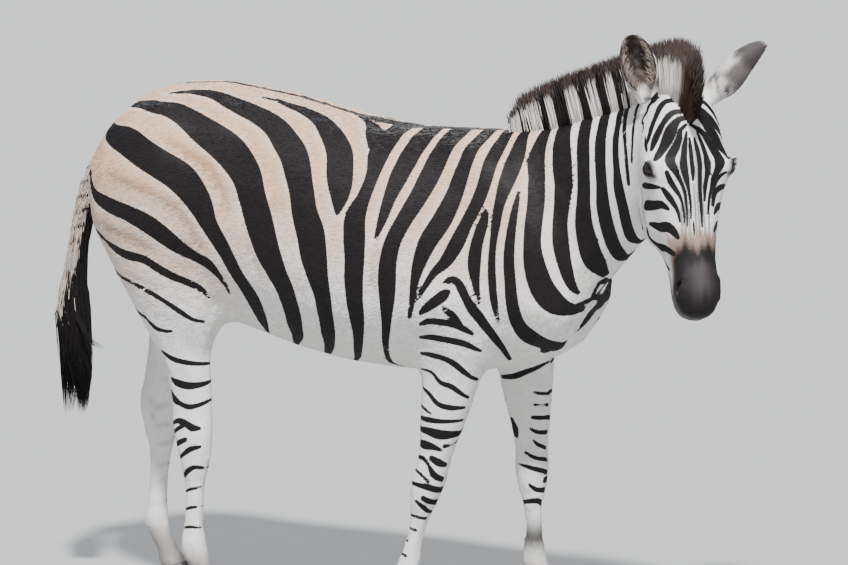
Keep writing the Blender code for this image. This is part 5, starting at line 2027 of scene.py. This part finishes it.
@dataclass(frozen=True)
class Lashes:
    """Stiff dark lashes along an eye's upper lid.

    Attributes:
        socket: the eye's place and lids.
        chart: the map of their roots.
        count: how many there are.
        thickness: a lash's radius.
        shares: how far along a lash its points lie.
        seed: starts its random draws.
    """

    socket: EyeSocket
    chart: HideChart
    count: int = 60
    thickness: float = 0.00042
    shares: Row = (0.0, 0.4, 0.75, 1.0)
    seed: int = 41

    def build(self, material: bpy.types.Material) -> Piece:
        """Grows the lashes from the lid's edge, out and a little down."""
        rng = np.random.default_rng(self.seed)
        socket = self.socket
        along = rng.uniform(-0.80, 0.62, self.count) * socket.half_length
        reach = 1 - (np.abs(along) / socket.half_length) ** 2.1
        above = socket.upper * reach + rng.uniform(0.0006, 0.0022, self.count)
        out = np.sqrt(np.clip((socket.ball + socket.lid * 0.8) ** 2 - along**2 - above**2, 0, None))
        axes = socket.axes()
        start = socket.centre() + np.column_stack([along, above, out]) @ axes.T
        fanned = along * 14 + rng.normal(0, 0.12, self.count)
        way = unit(np.column_stack([fanned, np.full(self.count, 0.30), np.ones(self.count)]))
        length = rng.uniform(0.009, 0.015, self.count)
        made = []
        for t in self.shares:
            local = way * (length * t)[:, None] - np.outer(length * t * t * 0.30, (0, 1, 0))
            made.append(start + local @ axes.T)
        paths = np.stack(made, axis=1)
        radius = np.full((self.count, 1), self.thickness) * np.array((1.0, 0.85, 0.55))
        tone = np.tile(PALETTE.lash, (*paths.shape[:2], 1))
        side = "left" if socket.side > 0 else "right"
        hair = Hair(f"lashes_{side}", "coat", material)
        return hair.grow(paths, radius, np.full(paths.shape[:2], NO_INK), tone, self.chart.of(start))


@dataclass(frozen=True)
class EyeBall:
    """A glossy dark eyeball with a brown iris and a long pupil.

    Attributes:
        socket: the eye's place.
        name: the piece's name.
    """

    socket: EyeSocket
    name: str

    def build(self) -> Piece:
        """Makes the ball, coloured by the direction that it looks."""
        bpy.ops.mesh.primitive_uv_sphere_add(
            segments=72, ring_count=48, radius=self.socket.ball - 0.0002, location=self.socket.centre()
        )
        ball = bpy.context.active_object
        ball.name = self.name
        bpy.ops.object.transform_apply(location=True, rotation=True, scale=True)
        ball.data.shade_smooth()
        local = (points_of(ball) - self.socket.centre()) @ self.socket.axes() / self.socket.ball
        rim = np.hypot(local[:, 0], local[:, 1] * 1.05)
        pupil = np.hypot(local[:, 0] / 0.34, local[:, 1] / 0.19)
        colour = mix(PALETTE.iris, PALETTE.iris_edge, ramp(rim, 0.45, 0.62))
        colour = mix(colour, PALETTE.eye_white, ramp(rim, 0.74, 0.88))
        colour = mix(colour, PALETTE.pupil, ramp(pupil, 1.15, 0.9))
        set_colours(ball.data, "tone", colour * (local[:, 2:3] > -0.2))
        material, shader = new_material("eye")
        tone = attribute_node(material, "tone")
        material.node_tree.links.new(tone.outputs["Color"], shader.inputs["Base Color"])
        fill(shader, {"Roughness": 0.07, "IOR": 1.376, "Coat Weight": 0.3, "Coat Roughness": 0.03})
        wear(ball, material)
        return ball


@dataclass(frozen=True)
class Hoof:
    """A hoof with softer edges than its solid.

    Attributes:
        node: the solid.
    """

    node: Piece

    def build(self) -> Piece:
        """Joins a copy of the solid's triangles into flat faces and rounds its edges."""
        mesh = self.node.data.copy()
        hoof = object_of(self.node.name + "_horn", mesh)
        weld = bmesh.new()
        weld.from_mesh(mesh)
        bmesh.ops.remove_doubles(weld, verts=weld.verts, dist=0.00002)
        bmesh.ops.dissolve_limit(weld, angle_limit=radians(1), verts=weld.verts, edges=weld.edges)
        weld.to_mesh(mesh)
        weld.free()
        apply_modifier(hoof, "BEVEL", width=0.0014, segments=3, limit_method="ANGLE", angle_limit=radians(40))
        mesh.shade_smooth()
        return hoof


def new_material(name: str) -> tuple[bpy.types.Material, bpy.types.Node]:
    """A node material with its Principled shader."""
    material = bpy.data.materials.new(name)
    material.use_nodes = True
    return material, material.node_tree.nodes["Principled BSDF"]


def fill(node: bpy.types.Node, values: dict[str | int, float | Row]) -> None:
    """Sets a node's own inputs, by their names or numbers."""
    for name, value in values.items():
        node.inputs[name].default_value = value


def attribute_node(material: bpy.types.Material, name: str) -> bpy.types.Node:
    """A node that reads a value stored on the mesh."""
    node = material.node_tree.nodes.new("ShaderNodeAttribute")
    node.attribute_name = name
    return node


@dataclass(frozen=True)
class CoatFinish:
    """Short hair: black ink over a pale tone, with a soft ragged edge.

    Attributes:
        black: the ink's colour.
        softness: half the width over which its edge fades.
        raggedness: how far its edge wanders.
        roughness: the hair's roughness.
        gloss: its specular level.
    """

    black: Row = (0.0075, 0.0055, 0.0056)
    softness: float = 0.0011
    raggedness: float = 0.0022
    roughness: float = 0.62
    gloss: float = 0.22

    def material(self) -> bpy.types.Material:
        """Builds the material."""
        material, shader = new_material("coat")
        nodes, links = material.node_tree.nodes, material.node_tree.links
        ink, tone = attribute_node(material, "ink"), attribute_node(material, "tone")
        place = nodes.new("ShaderNodeTexCoord")
        noise = nodes.new("ShaderNodeTexNoise")
        fill(noise, {"Scale": 320.0, "Detail": 2.0})
        links.new(place.outputs["Object"], noise.inputs["Vector"])
        ragged = nodes.new("ShaderNodeMath")
        ragged.operation = "MULTIPLY_ADD"
        ragged.inputs[1].default_value = self.raggedness
        links.new(noise.outputs["Fac"], ragged.inputs[0])
        links.new(ink.outputs["Fac"], ragged.inputs[2])
        edge = nodes.new("ShaderNodeMapRange")
        edge.interpolation_type = "SMOOTHSTEP"
        middle = self.raggedness / 2
        fill(edge, {"From Min": middle - self.softness, "From Max": middle + self.softness})
        links.new(ragged.outputs[0], edge.inputs["Value"])
        colour = nodes.new("ShaderNodeMix")
        colour.data_type = "RGBA"
        fill(colour, {7: (*self.black, 1)})
        links.new(edge.outputs[0], colour.inputs[0])
        links.new(tone.outputs["Color"], colour.inputs[6])
        links.new(colour.outputs[2], shader.inputs["Base Color"])
        fill(shader, {"Roughness": self.roughness, "Specular IOR Level": self.gloss})
        return material


@dataclass(frozen=True)
class HornFinish:
    """Dark grey horn with faint growth rings round the hoof.

    Attributes:
        colour: the horn's colour.
        pale: its colour between the rings.
        roughness: its roughness.
    """

    colour: Row = (0.045, 0.038, 0.034)
    pale: Row = (0.062, 0.053, 0.047)
    roughness: float = 0.42

    def material(self) -> bpy.types.Material:
        """Builds the material."""
        material, shader = new_material("horn")
        nodes, links = material.node_tree.nodes, material.node_tree.links
        place = nodes.new("ShaderNodeTexCoord")
        rings = nodes.new("ShaderNodeTexWave")
        rings.bands_direction = "Z"
        fill(rings, {"Scale": 60.0, "Distortion": 1.5, "Detail": 2.0})
        links.new(place.outputs["Object"], rings.inputs["Vector"])
        colour = nodes.new("ShaderNodeMix")
        colour.data_type = "RGBA"
        fill(colour, {6: (*self.colour, 1), 7: (*self.pale, 1)})
        links.new(rings.outputs["Fac"], colour.inputs[0])
        links.new(colour.outputs[2], shader.inputs["Base Color"])
        relief = nodes.new("ShaderNodeBump")
        fill(relief, {"Strength": 0.25, "Distance": 0.001})
        links.new(rings.outputs["Fac"], relief.inputs["Height"])
        links.new(relief.outputs["Normal"], shader.inputs["Normal"])
        fill(shader, {"Roughness": self.roughness})
        return material


# ---------------------------------------------------------------------------
# Studio
# ---------------------------------------------------------------------------


@dataclass
class Studio:
    """A pale floor, soft light and the camera.

    Attributes:
        target: what the camera looks at.
        azimuth: how far round it stands from the animal's right side, in degrees.
        elevation: how high it looks from, in degrees.
        distance: how far off it stands.
        frame_width: how wide a field it takes in at the target.
        floor_size: how wide the floor is.
    """

    target: Row = (-0.0459, 0.2336, 0.8112)
    azimuth: float = 25.0
    elevation: float = 10.0
    distance: float = 16.0
    frame_width: float = 2.12
    floor_size: float = 60

    def camera(self) -> None:
        """Stands the camera off the animal's right side, a little to its front."""
        turn, lift = radians(self.azimuth), radians(self.elevation)
        back = Vector((sin(turn) * cos(lift), -cos(turn) * cos(lift), sin(lift)))
        data = bpy.data.cameras.new("camera")
        data.sensor_width = 36.0
        data.lens = data.sensor_width * self.distance / self.frame_width
        camera = bpy.data.objects.new("camera", data)
        camera.location = Vector(self.target) + back * self.distance
        camera.rotation_euler = back.to_track_quat("Z", "Y").to_euler()
        bpy.context.scene.collection.objects.link(camera)
        bpy.context.scene.camera = camera

    def lights(self) -> None:
        """A broad sky, a key light from high up and a weak, soft fill."""
        world = bpy.data.worlds.new("studio")
        world.use_nodes = True
        fill(world.node_tree.nodes["Background"], {"Color": (0.80, 0.87, 1.0, 1), "Strength": 0.80})
        bpy.context.scene.world = world
        for name, angles, power, angle in (
            ("key", (radians(34), 0.0, radians(25)), 7.0, 4.0),
            ("fill", (radians(58), 0.0, radians(205)), 2.0, 30.0),
        ):
            data = bpy.data.lights.new(name, "SUN")
            data.energy = power
            data.angle = radians(angle)
            light = bpy.data.objects.new(name, data)
            light.rotation_euler = angles
            bpy.context.scene.collection.objects.link(light)

    def floor(self) -> None:
        """A pale floor, larger than the view."""
        bpy.ops.mesh.primitive_plane_add(size=self.floor_size)
        floor = bpy.context.active_object
        floor.name = "floor"
        material, shader = new_material("floor")
        fill(shader, {"Base Color": (0.34, 0.34, 0.33, 1), "Roughness": 0.9})
        floor.data.materials.append(material)

    def build(self) -> None:
        """Sets the whole studio."""
        self.camera()
        self.lights()
        self.floor()


Nodes = dict[str, Piece]
EARS = (
    Ear(-1, (-0.005, -0.070, -0.085), (-0.20, -0.21, 0.957), (0.30, -0.93, 0.17), 0.169, 0.088),
    Ear(1, (0.0, 0.070, -0.085), (0.610, 0.435, 0.662), (0.211, 0.769, -0.587), 0.204, 0.080),
)
SOCKETS = (EyeSocket(-1), EyeSocket(1))
NOSTRILS = (Nostril(-1), Nostril(1))
MOUTH = Mouth()


def formed_skin(flesh: Nodes, hooves: list[Piece]) -> Skin:
    """Draws the hide from the flesh solids and forms the lips, lids, nostrils and ears on it."""
    skin = Skin()
    skin.joined_flesh(list(flesh.values()), hooves)
    skin.outer_shell()
    skin.smoothed(0.3 + 0.7 * ramp(points_of(skin.obj)[:, 2], 0.10, 0.20), 6)
    skin.sunk()
    skin.refined_all()
    skin.refined_at([socket.centre() for socket in SOCKETS], 0.030)
    skin.refined_at([nostril.centre() for nostril in NOSTRILS], 0.024)
    skin.find()
    MOUTH.sculpt(skin)
    for feature in (*SOCKETS, *NOSTRILS):
        feature.sculpt(skin)
    skin.joined_ears([ear.solid() for ear in EARS])
    skin.eased_at([head_point(*ear.root) + ear.axes()[:, 1] * 0.02 for ear in EARS], 0.05, 6)
    skin.find()
    LOG.info("skin: %d vertices", len(skin.obj.data.vertices))
    return skin


def leg_lines(nodes: Nodes) -> dict[str, LegLine]:
    """The four legs' middle lines."""
    legs = {}
    for end, upper in (("fore", "forearm"), ("hind", "gaskin")):
        for side in ("right", "left"):
            parts = (f"{upper}_{side}", f"{end}_cannon_{side}", f"{end}_pastern_{side}")
            legs[f"{end}_{side}"] = LegLine.of([nodes[part] for part in parts])
    return legs


def fit_eyes() -> None:
    """Puts a ball in each socket."""
    for socket, name in zip(SOCKETS, ("eye_right", "eye_left")):
        ball = EyeBall(socket, name + "_ball").build()
        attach(ball, "root")
        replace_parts(ball, name)
        LOG.info("%s: %d vertices", ball.name, len(ball.data.vertices))


def fit_hooves(nodes: Nodes) -> None:
    """Makes the four hooves of horn."""
    horn = HornFinish().material()
    for name in ("hoof_fore_right", "hoof_fore_left", "hoof_hind_right", "hoof_hind_left"):
        hoof = Hoof(nodes[name]).build()
        wear(hoof, horn)
        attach(hoof, "root")
        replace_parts(hoof, name)
        LOG.info("%s: %d vertices", hoof.name, len(hoof.data.vertices))


def main() -> None:
    """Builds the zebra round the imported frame."""
    logging.basicConfig(level=logging.INFO, format="%(message)s")
    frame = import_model()
    nodes = frame["nodes"]
    Studio().build()
    apart = ("eye", "hoof", "mane", "tail", "ear")
    flesh = {name: node for name, node in nodes.items() if not name.startswith(apart)}
    skin = formed_skin(flesh, [node for name, node in nodes.items() if name.startswith("hoof")])
    legs = leg_lines(nodes)
    markings = Markings(skin, [*SOCKETS, *NOSTRILS], MOUTH.stroke(skin), list(EARS))
    markings.lay(legs)
    markings.dress(skin.obj.data, points_of(skin.obj))
    finish = CoatFinish().material()
    wear(skin.obj, finish)
    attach(skin.obj, "root")
    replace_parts(skin.obj, *flesh, "tail_dock", "ear_right", "ear_left")
    chart = HideChart(legs, list(EARS))
    Coat(skin, markings, chart).build(finish)
    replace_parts(Mane(markings, chart).build(finish), "mane")
    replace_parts(Tail(chart).build(finish), "tail_tuft")
    for ear in EARS:
        EarHair(ear, chart).build(finish)
    for socket in SOCKETS:
        Lashes(socket, chart).build(finish)
    fit_eyes()
    fit_hooves(nodes)


if __name__ == "__main__":
    main()
